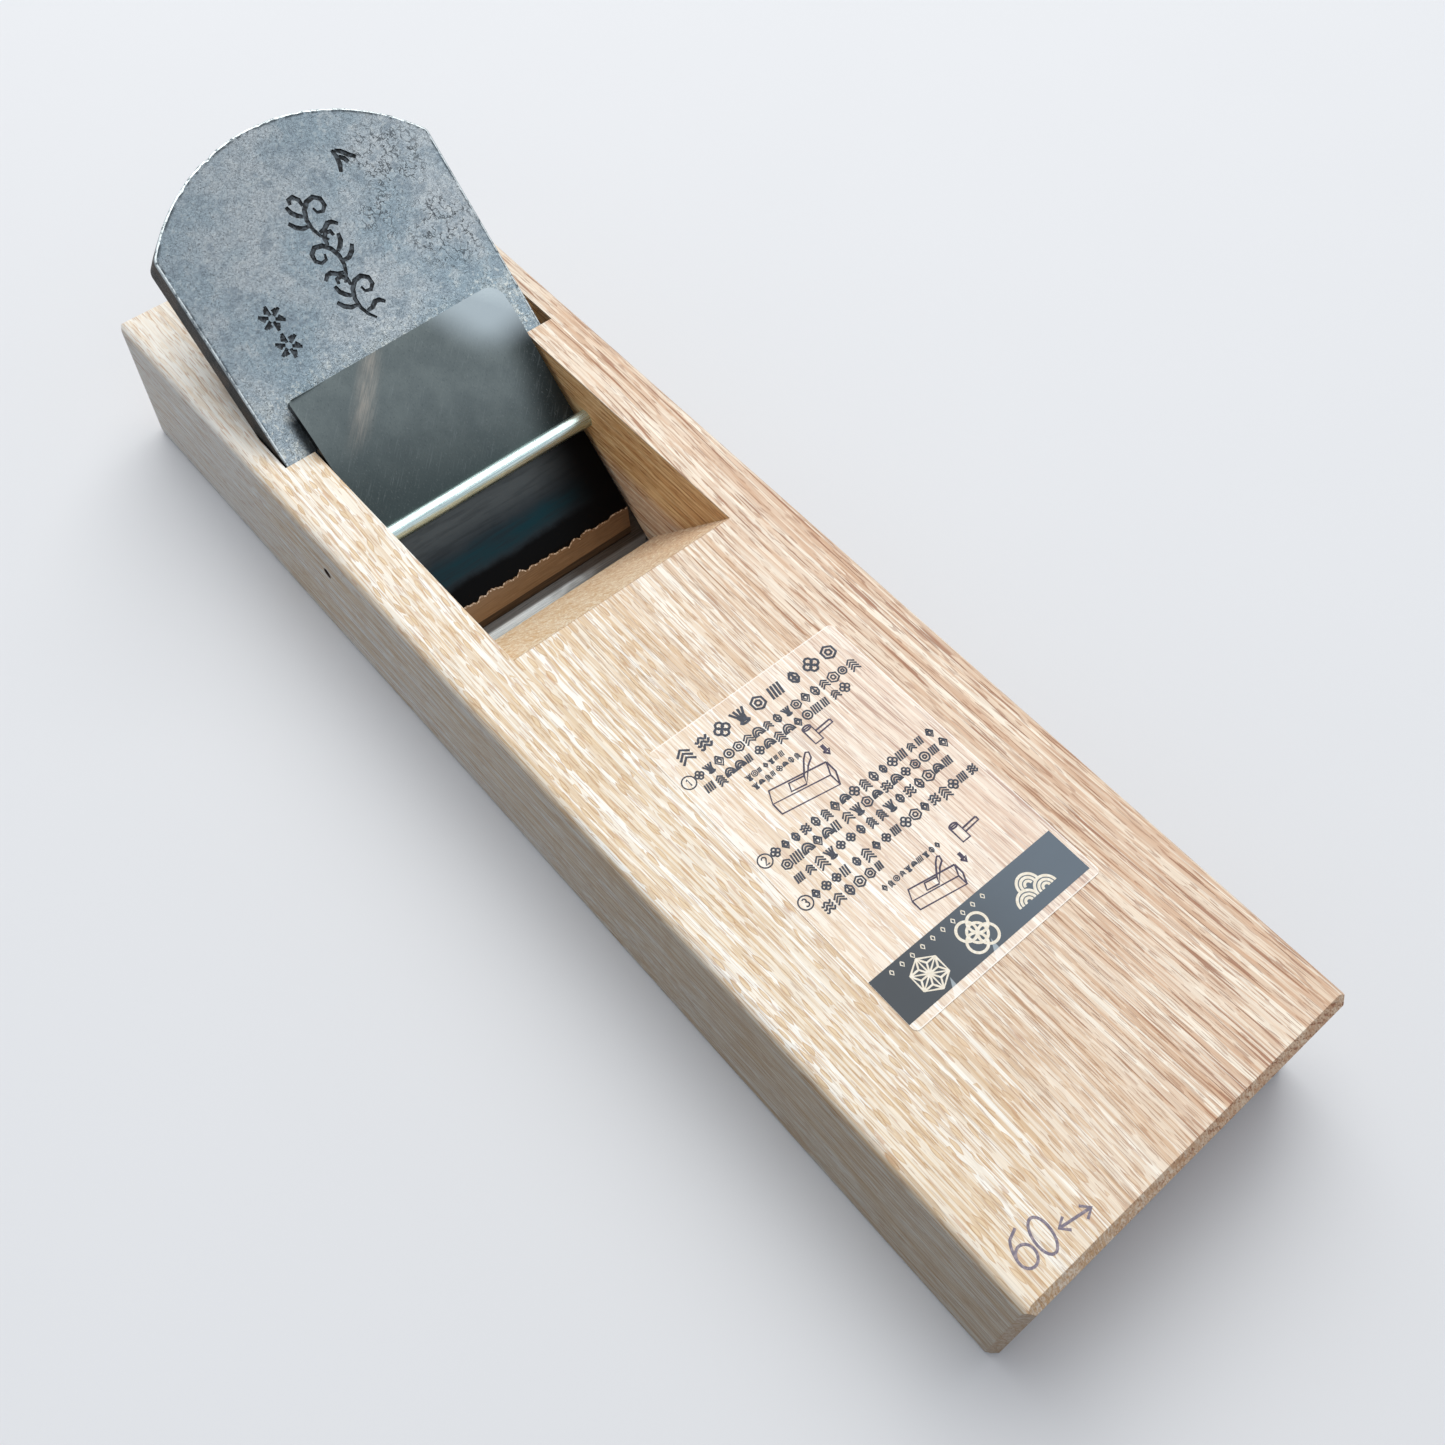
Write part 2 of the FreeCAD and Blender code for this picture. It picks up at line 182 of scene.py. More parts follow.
def place_mm(tree):
    """The point being shaded, in mm in the plane's own frame."""
    place = new_node(tree, "ShaderNodeTexCoord").outputs["Object"]
    return vector_math("MULTIPLY", place, (1 / MM, 1 / MM, 1 / MM))[0]


def facing(tree):
    """The way the surface faces, in the plane's own frame."""
    return new_node(tree, "ShaderNodeTexCoord").outputs["Normal"]


def stretched(vector, *lengths):
    """Coordinates in which a feature of one unit is as long, wide and deep as the lengths."""
    return vector_math("MULTIPLY", vector, tuple(1 / length for length in lengths))[0]


# %% Patterns, colours and relief
def cloud(vector, detail=2.0, rough=0.5):
    inputs = {"Vector": vector, "Scale": 1.0, "Detail": detail, "Roughness": rough}
    return node("ShaderNodeTexNoise", inputs, noise_dimensions="3D")


def patches(place, lengths, detail=2.0, rough=0.5):
    """Soft random patches, as long, wide and deep as the lengths, mostly between 0.3 and 0.7."""
    sizes = lengths if isinstance(lengths, tuple) else (lengths,) * 3
    return cloud(stretched(place, *sizes), detail, rough)[0]


def cells(vector, spread=1.0):
    inputs = {"Vector": vector, "Scale": 1.0, "Randomness": spread}
    return node("ShaderNodeTexVoronoi", inputs, feature="F1")


def mix(share, first, second, how="MIX"):
    return node("ShaderNodeMix", {0: share, 6: first, 7: second}, data_type="RGBA", blend_type=how)[2]


def layered(colour, *layers):
    """Lays colours over one another. Each layer is its share and its colour."""
    for share, top in layers:
        colour = mix(share, colour, top)
    return colour


def bump(height, depth_mm):
    return node("ShaderNodeBump", {"Height": height, "Distance": depth_mm * MM})[0]


# %% A shader group and how it is used
def new_group(name, given, results):
    """A shader group with named sockets: its tree, inputs and outputs."""
    tree = bpy.data.node_groups.new(name, "ShaderNodeTree")
    for label, value in given.items():
        kind = "NodeSocketVector" if isinstance(value, tuple) else "NodeSocketFloat"
        tree.interface.new_socket(label, in_out="INPUT", socket_type=kind).default_value = value
    for label in results:
        kind = "NodeSocketColor" if label == "Color" else "NodeSocketFloat"
        tree.interface.new_socket(label, in_out="OUTPUT", socket_type=kind)
    return tree, tree.nodes.new("NodeGroupInput").outputs, tree.nodes.new("NodeGroupOutput").inputs


def use_group(tree, name, inputs=None):
    """Places a finished group in a material and gives its outputs."""
    return new_node(tree, "ShaderNodeGroup", inputs, node_tree=bpy.data.node_groups[name]).outputs


# %% A new material
def new_finish(name, **plain):
    """A material with one Principled shader, whose plain values are set on its own sockets."""
    material = bpy.data.materials.new(name)
    material.use_nodes = True
    surface = material.node_tree.nodes["Principled BSDF"].inputs
    for label, value in plain.items():
        surface[label.replace("_", " ")].default_value = value
    return material, material.node_tree, surface


def dress(surface, colour, rough, height=None, depth_mm=0.0):
    """Feeds the colour, the roughness and the relief of a finish."""
    feed(surface["Base Color"], colour)
    feed(surface["Roughness"], rough)
    if height is not None:
        feed(surface["Normal"], bump(height, depth_mm))


# %% [markdown]
# ## The camera
# The photograph is taken by hand from above the front left corner, close by, so near parts look
# large. The place and the three axes were found by fitting the block's corners to the picture.

# %% The camera
camera_place = Vector((0.127686, -0.101661, 0.255593))
camera_right = Vector((0.65531, 0.75493, 0.02524))
camera_up = Vector((-0.64910, 0.54573, 0.52995))
camera_back = Vector((0.38630, -0.36366, 0.84766))
camera_lens = 37.75

camera = bpy.data.objects.new("camera", bpy.data.cameras.new("camera"))
camera.data.lens = camera_lens
camera.data.sensor_width = 36
camera.data.clip_start = 0.01
axes = Matrix((camera_right, camera_up, camera_back)).transposed().to_4x4()
camera.matrix_world = Matrix.Translation(camera_place) @ axes
bpy.context.scene.collection.objects.link(camera)
bpy.context.scene.camera = camera
print("camera", round(camera_place.length / MM), "mm from the middle of the sole")

# %% [markdown]
# ## Light and floor
# The plane stands under open sky: bright from above and from behind the blade, weak on the near
# side. A dim world and one large soft lamp do the same. Together they light the top so that a
# colour comes out about as it is written. The floor is pale to the eye and in reflections, but
# throws back little light, so the sides of the block stay in shade, and it keeps the shadow.

# %% Rays that see the pale background
def seen_directly(tree):
    """One for rays from the eye and for those that metal or clear film sends on."""
    rays = new_node(tree, "ShaderNodeLightPath").outputs
    seen = math_node("MAXIMUM", rays["Is Camera Ray"], rays["Is Glossy Ray"])
    return math_node("MAXIMUM", seen, rays["Is Transmission Ray"])


# %% The floor
floor_half_side = 3.0
floor_to_the_eye = paint(226, 228, 231)
floor_to_the_plane = paint(78, 86, 98)
floor_dimming = 0.985

corners = [(x * floor_half_side, y * floor_half_side, 0) for x, y in ((-1, -1), (1, -1), (1, 1), (-1, 1))]
floor_mesh = bpy.data.meshes.new("floor")
floor_mesh.from_pydata(corners, [], [(0, 1, 2, 3)])
floor = bpy.data.objects.new("floor", floor_mesh)
bpy.context.scene.collection.objects.link(floor)

floor_finish, tree, surface = new_finish("pale floor", Roughness=0.85)
dimmed = tuple(level * floor_dimming for level in floor_to_the_eye[:3]) + (1,)
shaded = mix(patches(place_mm(tree), 60), dimmed, floor_to_the_eye)
feed(surface["Base Color"], mix(seen_directly(tree), floor_to_the_plane, shaded))
floor_mesh.materials.append(floor_finish)

# %% The world
sky_colour = (0.94, 0.98, 1.06, 1)
sky_light = 0.45
sky_seen = 0.86

world = bpy.data.worlds.new("soft sky")
world.use_nodes = True
bpy.context.scene.world = world
sky = world.node_tree.nodes["Background"].inputs
sky["Color"].default_value = sky_colour
feed(sky["Strength"], between(seen_directly(world.node_tree), sky_light, sky_seen))

# %% The lamp
lamp_towards = Vector((-0.34, 0.26, 0.90))
lamp_side = 1.5
lamp_distance = 1.5
lamp_power = 19.8

lamp = bpy.data.objects.new("sky window", bpy.data.lights.new("sky window", "AREA"))
lamp.data.shape = "SQUARE"
lamp.data.size = lamp_side
lamp.data.energy = lamp_power
lamp.data.color = (1.0, 0.985, 0.95)
lamp.location = lamp_towards.normalized() * lamp_distance
lamp.rotation_mode = "QUATERNION"
lamp.rotation_quaternion = lamp_towards.to_track_quat("Z", "Y")
bpy.context.scene.collection.objects.link(lamp)
bpy.context.scene.view_settings.view_transform = "Standard"
print("one lamp of", lamp_side, "m above and behind the blade, world at", sky_light)

# %% [markdown]
# ## Oak
# The block is pale oak. Its look comes from how the log was cut: growth rings with bands of open
# pores run the length of the block, and thin rays of hard cells run from the pith outwards. On
# the near half of the top the saw ran along the rings, so the rays show as small tan spindles.
# Towards the far edge it cut across the rings, so bands of dark pore lines show.
# A picture of wood could be stretched over the block, but it would not meet at the corners.
# So the group builds the wood in the round, with rings about a pith below the block, and each
# face shows what a saw cut there would show.

# %% The log around the block
pith_across = -24.0
pith_height = -58.0
ring_width = 1.25
wander_lengths = (150, 38, 38)
wander_shift = (0, 11, 2.2)


def wood_place(place):
    """Along, round and out from the pith, in mm, with the wander of real grain."""
    wander = cloud(stretched(place, *wander_lengths), detail=1.0)["Color"]
    centred = vector_math("SUBTRACT", wander, (0.5, 0.5, 0.5))[0]
    shift = vector_math("MULTIPLY", centred, wander_shift)[0]
    x, y, z = split(vector_math("ADD", place, shift)[0])
    across = y - pith_across
    height = z - pith_height
    out = math_node("SQRT", across * across + height * height)
    turn = math_node("ARCTAN2", across, height)
    return join(x, turn * (block_top - pith_height), out)


# %% Rays of hard cells
ray_spacing = (5.0, 1.25, 11.0)
ray_half_length = 0.36
ray_half_width = 0.25


def ray_spindles(wood):
    """Spindles where the surface cuts the thin plates of the rays: their inside and their outline."""
    drift = cloud(stretched(wood, 9, 3, 9), detail=1.0)["Color"]
    bent = vector_math("ADD", wood, vector_math("MULTIPLY", drift, (0, 1.6, 0))[0])[0]
    spaced = stretched(bent, *ray_spacing)
    found = cells(spaced)
    offset = vector_math("SUBTRACT", spaced, found["Position"])[0]
    along, across, out = split(vector_math("ABSOLUTE", offset)[0])
    reach = along * along * (1 / ray_half_length**2)
    width = reach + across * (1 / ray_half_width)
    kept = grade(split(found["Color"])[0], 0.25, 0.65)
    inside = grade(width, 0.95, 0.60)
    outline = hump(width, 0.60, 1.0, 0.15)
    return inside * kept, outline * kept


# %% Tan streaks on the pale wood
# Each family of streaks: its length and width in mm, how sparse it is and how soft its sides are.
wide_streaks = (90, 1.35, 0.44, 0.05)
thin_streaks = (60, 0.82, 0.535, 0.03)
short_dashes = (13, 0.42, 0.54, 0.035)


def streaks(wood, length, width, sparse, soft):
    """Long thin islands of tan. What they leave free are pale lines that part and meet."""
    field = patches(wood, (length, width, width), detail=1.5)
    return grade(field, sparse, sparse + soft)


# %% Bands of open pores
def pore_lines(wood):
    """Large pores, small pores, and the share of early wood that the large ones crowd into."""
    out = split(wood)[2]
    wobble = patches(wood, (60, 5, 4), detail=1.0)
    ring = math_node("FRACT", out * (1 / ring_width) + wobble * 1.6)
    early = grade(ring, 0.0, 0.18) * grade(ring, 0.66, 0.40)
    vessels = patches(wood, (15, 0.34, 0.34), detail=1.0)
    fine = patches(wood, (3.6, 0.24, 0.24), detail=0.0)
    large = grade(vessels, 0.585, 0.615) * between(early, 0.2, 0.9)
    return large, grade(fine, 0.65, 0.69), early


# %% The colours of oak
# Each colour has one value for the near half of the top and one for its far edge.
oak_colours = {
    "pale": (paint(253, 250, 241), paint(250, 238, 219)),
    "tan": (paint(237, 219, 191), paint(226, 195, 165)),
    "deeper": (paint(218, 186, 142), paint(206, 166, 134)),
    "pore": (paint(200, 154, 114), paint(164, 116, 90)),
    "ray": (paint(232, 208, 172), paint(218, 182, 150)),
    "ray outline": (paint(204, 168, 126), paint(194, 150, 116)),
}
end_grain_tint = paint(190, 160, 126)
throat_tint_and_shade = paint(248, 212, 128)


def streaky_wood(wood, tone, far, rear, early):
    """The pale wood and its streaks, before rays and pores are drawn on it."""
    pale_bands = patches(wood, (90, 5, 5), detail=1.0)
    # Painted light: the tan streaks and dashes thin out towards the rear, so it looks paler.
    quiet = grade(pale_bands, 0.42, 0.62, 1.0, 0.55) * between(rear, 1.0, 0.28)
    dashes = streaks(wood, *short_dashes)
    return layered(
        tone["pale"],
        (streaks(wood, *wide_streaks) * quiet * 0.62, tone["tan"]),
        (streaks(wood, *thin_streaks) * quiet * 0.62, tone["deeper"]),
        (dashes * between(rear, 0.6, 0.3), tone["deeper"]),
        (early * between(far, 0.05, 0.25), tone["deeper"]),
    )


# %% The oak group
def build_oak_group():
    given = {"Tint and Painted Shade": 0.0, "End Grain": 1.0}
    tree, inputs, outputs = new_group("oak_figure", given, ("Color", "Roughness", "Height"))
    place = place_mm(tree)
    x, y, z = split(place)
    wood = wood_place(place)
    large_pores, small_pores, early = pore_lines(wood)
    rays, ray_outlines = ray_spindles(wood)
    broad = patches(wood, (80, 3.5, 3.5))
    fibre = patches(wood, (7, 0.16, 0.16), detail=1.0)

    # Painted light: the rear of the top is painted paler, with fewer streaks, dashes and rays, to lift the
    # shade near the blade head.
    rear = grade(x, ledge.x + 8, ledge.x - 16)
    far = grade(y + x * 0.15 + broad * 14, -18, 44)
    tone = {name: mix(far, near, beyond) for name, (near, beyond) in oak_colours.items()}
    along_face, across_face, up_face = split(vector_math("ABSOLUTE", facing(tree))[0])
    on_top = grade(across_face, 0.5, 0.9, 1.0, 0.2)
    clear = grade(far, 0.1, 0.9, 0.9, 0.2) * between(rear, 1.0, 0.3) * on_top
    colour = layered(
        streaky_wood(wood, tone, far, rear, early),
        (rays * clear, tone["ray"]),
        (ray_outlines * clear * 0.8, tone["ray outline"]),
        (small_pores * 0.5, tone["pore"]),
        (large_pores * grade(far, 0.2, 0.9, 0.25, 0.9), tone["pore"]),
    )
    shade = grade(fibre, 0.3, 0.7, 0.93, 1.05)
    colour = vector_math("MULTIPLY", colour, join(shade, shade, shade))[0]
    end_grain = grade(along_face, 0.5, 0.85) * inputs["End Grain"]
    colour = mix(end_grain * 0.8, colour, end_grain_tint, how="MULTIPLY")
    # The throat's amber tint: part the tone of chisel-cut oak, part painted shade and warm bounce light.
    colour = mix(inputs["Tint and Painted Shade"], colour, throat_tint_and_shade, how="MULTIPLY")

    feed(outputs["Color"], colour)
    pores = math_node("MAXIMUM", large_pores, small_pores * 0.5)
    feed(outputs["Roughness"], 0.44 + pores * 0.2 + fibre * 0.12)
    relief = pores * -1.0 + fibre * 0.35 + rays * -0.15
    feed(outputs["Height"], relief)


build_oak_group()
print("oak: rings of", ring_width, "mm about a pith", round(block_top - pith_height), "mm below the top")

# %% [markdown]
# ## The block
# The maker planes the outside smooth and chops the throat with a chisel. The walls of the throat
# are tinted deep amber, part the tone of chisel-cut oak and part painted shade and warm bounce light;
# the cheeks take the most, and their foot and the front wall stay paler. The left side is painted
# a little darker towards the front, as painted shade. The solid is right in shape, but each of its edges is a
# perfect corner. A real edge is broken a little, so a copy of the solid gets a narrow bevel.

# %% Copies of solids
def copy_of_node(name):
    """A closed copy of a solid's mesh, with its loose triangles merged into flat faces."""
    mesh = bmesh.new()
    mesh.from_mesh(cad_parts[name].data)
    bmesh.ops.remove_doubles(mesh, verts=mesh.verts, dist=0.001 * MM)
    bmesh.ops.dissolve_limit(mesh, angle_limit=math.radians(0.5), verts=mesh.verts, edges=mesh.edges)
    for face in mesh.faces:
        face.material_index = 0
    return mesh


def break_edges(mesh, width_mm, sharper_than):
    """Bevels the edges that turn more sharply than an angle in degrees."""
    whole = [edge for edge in mesh.edges if edge.is_manifold]
    sharp = [edge for edge in whole if abs(edge.calc_face_angle()) > math.radians(sharper_than)]
    bmesh.ops.bevel(
        mesh, geom=sharp, offset=width_mm * MM, segments=2, profile=0.5, affect="EDGES", clamp_overlap=True
    )


# %% From a mesh to a piece of the plane
smooth_below = math.radians(35)


def show(mesh, name, body, finishes, replaced=()):
    """Makes a mesh a visible piece that moves with a body of the frame."""
    if isinstance(mesh, bmesh.types.BMesh):
        shape = bpy.data.meshes.new(name)
        mesh.to_mesh(shape)
        mesh.free()
    else:
        shape = mesh
        shape.name = name
    if not shape.materials:
        for finish in finishes:
            shape.materials.append(finish)
    for polygon in shape.polygons:
        polygon.use_smooth = True
    shape.set_sharp_from_angle(angle=smooth_below)
    piece = bpy.data.objects.new(name, shape)
    bpy.context.scene.collection.objects.link(piece)
    even = piece.modifiers.new("even shading", "WEIGHTED_NORMAL")
    even.keep_sharp = True
    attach(piece, body)
    if replaced:
        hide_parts(*replaced)
    print(name, "has", len(shape.polygons), "faces")
    return piece


# %% A solid that only needs a finish
def wear(name, finish):
    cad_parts[name].material_slots[0].material = finish


# %% Where the oak changes
throat_front = -8.0
throat_half_width = 33.5
cheek_foot = (12, 18)
# How much of the amber tint, part tone and part painted shade, each wall of the throat takes.
front_wall_tint_and_shade = 0.26
cheek_tint_and_shade = 0.64
cheek_foot_tint_and_shade = 0.05
side_shade_length = (-60, 90)
pin_low, pin_high = (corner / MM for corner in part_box("retaining_pin"))
pin_centre = (pin_low + pin_high) / 2


# %% The oak of the block
def oak_finish():
    material, tree, surface = new_finish("planed oak", Specular_IOR_Level=0.35)
    x, y, z = split(place_mm(tree))
    facing_across = split(facing(tree))[1]
    in_length = hump(x, ledge.x - 30, throat_front, 0.5)
    in_width = grade(abs(y), throat_half_width, throat_half_width - 0.6)
    inside = in_length * in_width * grade(z, block_top - 0.05, block_top - 0.6)
    cheek = grade(abs(facing_across), 0.5, 0.9)
    # Painted shade: the throat's walls take the amber tint, least at the cheek's foot, which stays paler.
    depth = between(cheek, front_wall_tint_and_shade, grade(z, *cheek_foot, cheek_foot_tint_and_shade, cheek_tint_and_shade))
    given = {"Tint and Painted Shade": inside * depth, "End Grain": 1 - inside}
    oak = use_group(tree, "oak_figure", given)

    # Painted shade: the oak inside the small bore by the pin is painted dark.
    from_pin = length_of(join(x - pin_centre.x, 0.0, z - pin_centre.z))
    bore_shade = grade(from_pin, 1.35, 1.0) * grade(y, -30, -32)
    # Painted shade: the left side is painted darker towards the front.
    left = grade(facing_across, -0.5, -0.9)
    painted_side_shade = left * grade(x, *side_shade_length, 0.0, 0.62)
    colour = mix(painted_side_shade, oak["Color"], paint(196, 186, 170), how="MULTIPLY")
    colour = mix(bore_shade, colour, paint(54, 34, 22))
    dress(surface, colour, oak["Roughness"] + inside * 0.15, oak["Height"], 0.06)
    return material


# %% The block with broken edges
block_mesh = copy_of_node("dai_block")
break_edges(block_mesh, 0.18, 40)
show(block_mesh, "oak_block", "body", [oak_finish()], ["dai_block"])

# %% [markdown]
# ## Marks on the blade
# Several finishes on the blade and chipbreaker change along the face: the iron is smoother near
# the ledge, the bevel is ground, heat has coloured one band. They all need the same three
# distances, so one group measures them.

# %% The group that measures along the face
def build_face_group():
    tree, inputs, outputs = new_group("on_the_face", {}, ("Along", "Across", "Above"))
    offset = vector_math("SUBTRACT", place_mm(tree), tuple(ledge))[0]
    feed(outputs["Along"], reach_along(offset, up_the_face))
    feed(outputs["Across"], split(offset)[1])
    feed(outputs["Above"], reach_along(offset, out_of_the_face))


build_face_group()


# %% [markdown]
# ## Grinding lines
# Ground and drawn steel carries fine parallel lines. The same lines are on the edge steel, the
# pin and the chipbreaker, in other directions, so the group takes coordinates that are already
# stretched the way the lines run.

# %% The group of fine lines
def build_lines_group():
    tree, inputs, outputs = new_group("grinding_lines", {"Place": (0, 0, 0)}, ("Lines", "Deep"))
    fine = cloud(inputs["Place"], detail=3.0, rough=0.65)[0]
    coarse = patches(inputs["Place"], 3, detail=1.0)
    feed(outputs["Lines"], grade(fine, 0.3, 0.7))
    feed(outputs["Deep"], grade(fine, 0.60, 0.72) * grade(coarse, 0.45, 0.65))


build_lines_group()


def lines_along(tree, *lengths):
    """Grinding lines of the given lengths along X, Y and Z, in mm."""
    return use_group(tree, "grinding_lines", {"Place": stretched(place_mm(tree), *lengths)})


# %% [markdown]
# ## The blade's iron
# The iron is forged and left with its grey fire scale: mottled blue and pinkish grey, full of
# fine pits, with short cracks in patches where the scale has lifted. Near the ledge the scale is
# rubbed a little smoother, with pale specks. The group keeps the scale apart from the blade,
# because the back and the sides of the head carry it too.

# %% Thin crooked lines
def crooked_lines(place, size, half_line, detail=3.0):
    """Thin lines where a rough pattern passes its middle value."""
    from_middle = abs(patches(place, size, detail, 0.6) - 0.5)
    return grade(from_middle, half_line, half_line * 0.3)


# %% The fire scale group
def build_scale_group():
    given = {"Rubbed": 0.0, "Cracked": 0.0}
    tree, inputs, outputs = new_group("fire_scale", given, ("Color", "Roughness", "Height"))
    place = place_mm(tree)
    rubbed = inputs["Rubbed"]
    broad = patches(place, 16, 3.0, 0.55)
    spots = patches(place, 3.4, 4.0, 0.65)
    patchy = patches(place, 0.9, 4.0, 0.65)
    grit = patches(place, 0.42, 3.0, 0.6)
    pits = grade(grit, 0.61, 0.67) * grade(spots, 0.42, 0.54)
    creases = crooked_lines(place, 0.75, 0.026) * grade(patchy, 0.62, 0.44)
    crack_lines = crooked_lines(place, 1.9, 0.033, 2.0)
    cracks = crack_lines * grade(spots, 0.40, 0.52) * inputs["Cracked"]
    speckle = grade(patchy, 0.56, 0.63) * between(rubbed, 0.2, 0.85)
    colour = layered(
        mix(grade(broad, 0.38, 0.64), paint(149, 166, 175), paint(176, 184, 188)),
        (grade(spots, 0.49, 0.36) * 0.62, paint(122, 136, 146)),
        (grade(spots, 0.53, 0.66) * 0.5, paint(188, 194, 196)),
        (grade(patchy, 0.48, 0.34) * 0.3, paint(108, 121, 130)),
        (rubbed * 0.4, paint(170, 188, 196)),
        (grade(spots, 0.50, 0.60) * rubbed * 0.4, paint(204, 208, 200)),
        (speckle, paint(220, 222, 214)),
        (creases * 0.2, paint(78, 89, 97)),
        (pits * 0.6, paint(70, 78, 86)),
        (cracks * 0.8, paint(66, 72, 78)),
    )
    feed(outputs["Color"], colour)
    rough = 0.48 + patchy * 0.25 - rubbed * 0.14
    feed(outputs["Roughness"], rough)
    holes = pits * -0.5 + cracks * -0.8 + creases * -0.3
    feed(outputs["Height"], holes + patchy * 0.8 + grit * 0.4)


build_scale_group()

# %% The outline of the head, and where its finish changes
head_rise = 58.2
head_arc_rise = 14.2
blade_half_width = 31.0
blade_middle = -1.1
chip_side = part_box("chipbreaker_iron")[0].y / MM
# Each patch of lifted scale: its middle along and across the face, and its reach, in mm.
lifted_patches = [(42, 19, 10), (25, 22, 10), (33, 12, 6)]
cracks_elsewhere = 0.12


def inside_the_rim(along, across):
    """Distance of a point on the face from the nearest rim of the head, in mm."""
    radius = (blade_half_width**2 + head_arc_rise**2) / (2 * head_arc_rise)
    sideways = across - blade_middle
    from_centre = length_of(join(along - (head_rise - radius), sideways))
    from_side = blade_half_width - abs(sideways)
    return math_node("MINIMUM", radius - from_centre, from_side)


def lifted_scale(along, across):
    """One in the patches of lifted scale, and a little elsewhere."""
    cracked = cracks_elsewhere
    for centre_along, centre_across, reach in lifted_patches:
        offset = join(along - centre_along, across - centre_across)
        patch = grade(length_of(offset), reach, reach * 0.5)
        cracked = math_node("MAXIMUM", cracked, patch)
    return cracked


# %% The finish of the iron
def forged_finish():
    material, tree, surface = new_finish("forged iron", Metallic=0.85)
    place = place_mm(tree)
    face = use_group(tree, "on_the_face")
    along, across, above = face["Along"], face["Across"], face["Above"]
    rubbed = hump(along, -6, 12, 9) * grade(above, -0.5, 0.0)
    scale = use_group(tree, "fire_scale", {"Rubbed": rubbed, "Cracked": lifted_scale(along, across)})

    # Painted shade: the head is painted darker towards its upper left.
    upper_left = along * 0.6 - across * 0.5
    # A painted shadow: a dark line on the blade along the chipbreaker's left edge.
    shadow = hump(across, chip_side - 1.7, chip_side + 0.9, 1.1)
    painted_chipbreaker_shadow = shadow * grade(along, 9, 6)
    flaw = patches(place, 2.2, 4.0, 0.7)
    near_rim = hump(inside_the_rim(along, across), 0.3, 0.85, 0.25)
    rust = patches(place, 5, 3.0)
    side = mix(grade(rust, 0.42, 0.6), paint(16, 17, 18), paint(52, 42, 34))
    colour = layered(
        scale["Color"],
        (grade(upper_left, 0, 42, 0.0, 0.42), paint(114, 122, 128)),
        (painted_chipbreaker_shadow * 0.92, paint(22, 26, 28)),
        (near_rim * grade(flaw, 0.42, 0.54) * 0.8, paint(56, 64, 70)),
        (grade(above, -0.25, -0.9) * 0.97, side),
    )
    dress(surface, colour, scale["Roughness"], scale["Height"], 0.2)
    return material


# %% The finishes of the chisel cuts and the rim
def cut_finish():
    """Soot lies in the bottom of a cut, and its steep walls are painted almost black, as painted shade."""
    material, tree, surface = new_finish("chisel cut", Metallic=0.4)
    soot = patches(place_mm(tree), 0.7, 3.0)
    floor_share = grade(reach_along(facing(tree), out_of_the_face), 0.5, 0.9)
    bottom = mix(grade(soot, 0.42, 0.62), paint(24, 28, 31), paint(84, 92, 98))
    # The walls are painted near black: painted shade.
    dress(surface, mix(floor_share, paint(6, 8, 9), bottom), 0.5 + soot * 0.2)
    return material


def rim_finish():
    """Bare bright flakes between remains of dark scale, fewer on the straight sides."""
    material, tree, surface = new_finish("chipped rim", Metallic=0.9)
    place = place_mm(tree)
    flake = patches(place, 0.9, 4.0, 0.7)
    bare = patches(place, 6, 3.0, 0.6)
    straight = grade(abs(split(facing(tree))[1]), 0.45, 0.75, 1.0, 0.45)
    share = grade(flake, 0.34, 0.50) * grade(bare, 0.28, 0.44, 0.45, 1.0) * straight
    colour = mix(share, paint(88, 98, 104), paint(218, 226, 226))
    dress(surface, colour, grade(flake, 0.3, 0.7, 0.62, 0.34), flake, 0.12)
    return material


# %% [markdown]
# ## The chipped rim
# Hammer and grinder leave the rim of the head broken into small bright chips. A bump map alone
# would leave its outline a clean arc, so the rim is cut finely, bevelled and pushed about.

# %% Find the rim
rim_step = 0.6
rim_width = 0.42
chip_depth = 0.4
longest_in_steps = 60


def on_the_rim(edge):
    """True for the edges between the flat face and the outer wall of the head."""
    if len(edge.link_faces) != 2:
        return False
    along, across, above = place_on_blade((edge.verts[0].co + edge.verts[1].co) / (2 * MM))
    towards = sorted(face.normal.dot(out_of_the_face) for face in edge.link_faces)
    if along < -1 or above < -0.05 or towards[1] < 0.99 or abs(towards[0]) > 0.2:
        return False
    wall = min(edge.link_faces, key=lambda face: face.normal.dot(out_of_the_face))
    return min(place_on_blade(vert.co / MM)[2] for vert in wall.verts) < -2


# %% Chip the rim
def cut_finely(mesh, edges):
    """Cuts each edge into steps of about the same length."""
    for cuts in range(1, longest_in_steps):
        length = (cuts + 0.5) * rim_step * MM
        same = [edge for edge in edges if length <= edge.calc_length() < length + rim_step * MM]
        if same:
            bmesh.ops.bisect_edges(mesh, edges=same, cuts=cuts)


def knock(vert):
    """Pushes a point of the rim inwards: deep knocks in loose places, small nibbles all along."""
    place = vert.co / MM
    loose = max(0.0, noise.noise(place / 5.0) + 0.25)
    deep = max(0.0, noise.noise(place / 1.1) - 0.12) * 2.2 * loose
    nibble = abs(noise.noise(place / 0.45) * 0.14)
    push = vert.normal
    if place_on_blade(place)[2] > -0.02:
        push = (push - out_of_the_face * push.dot(out_of_the_face)).normalized()
    vert.co -= push * (deep + nibble) * chip_depth * MM


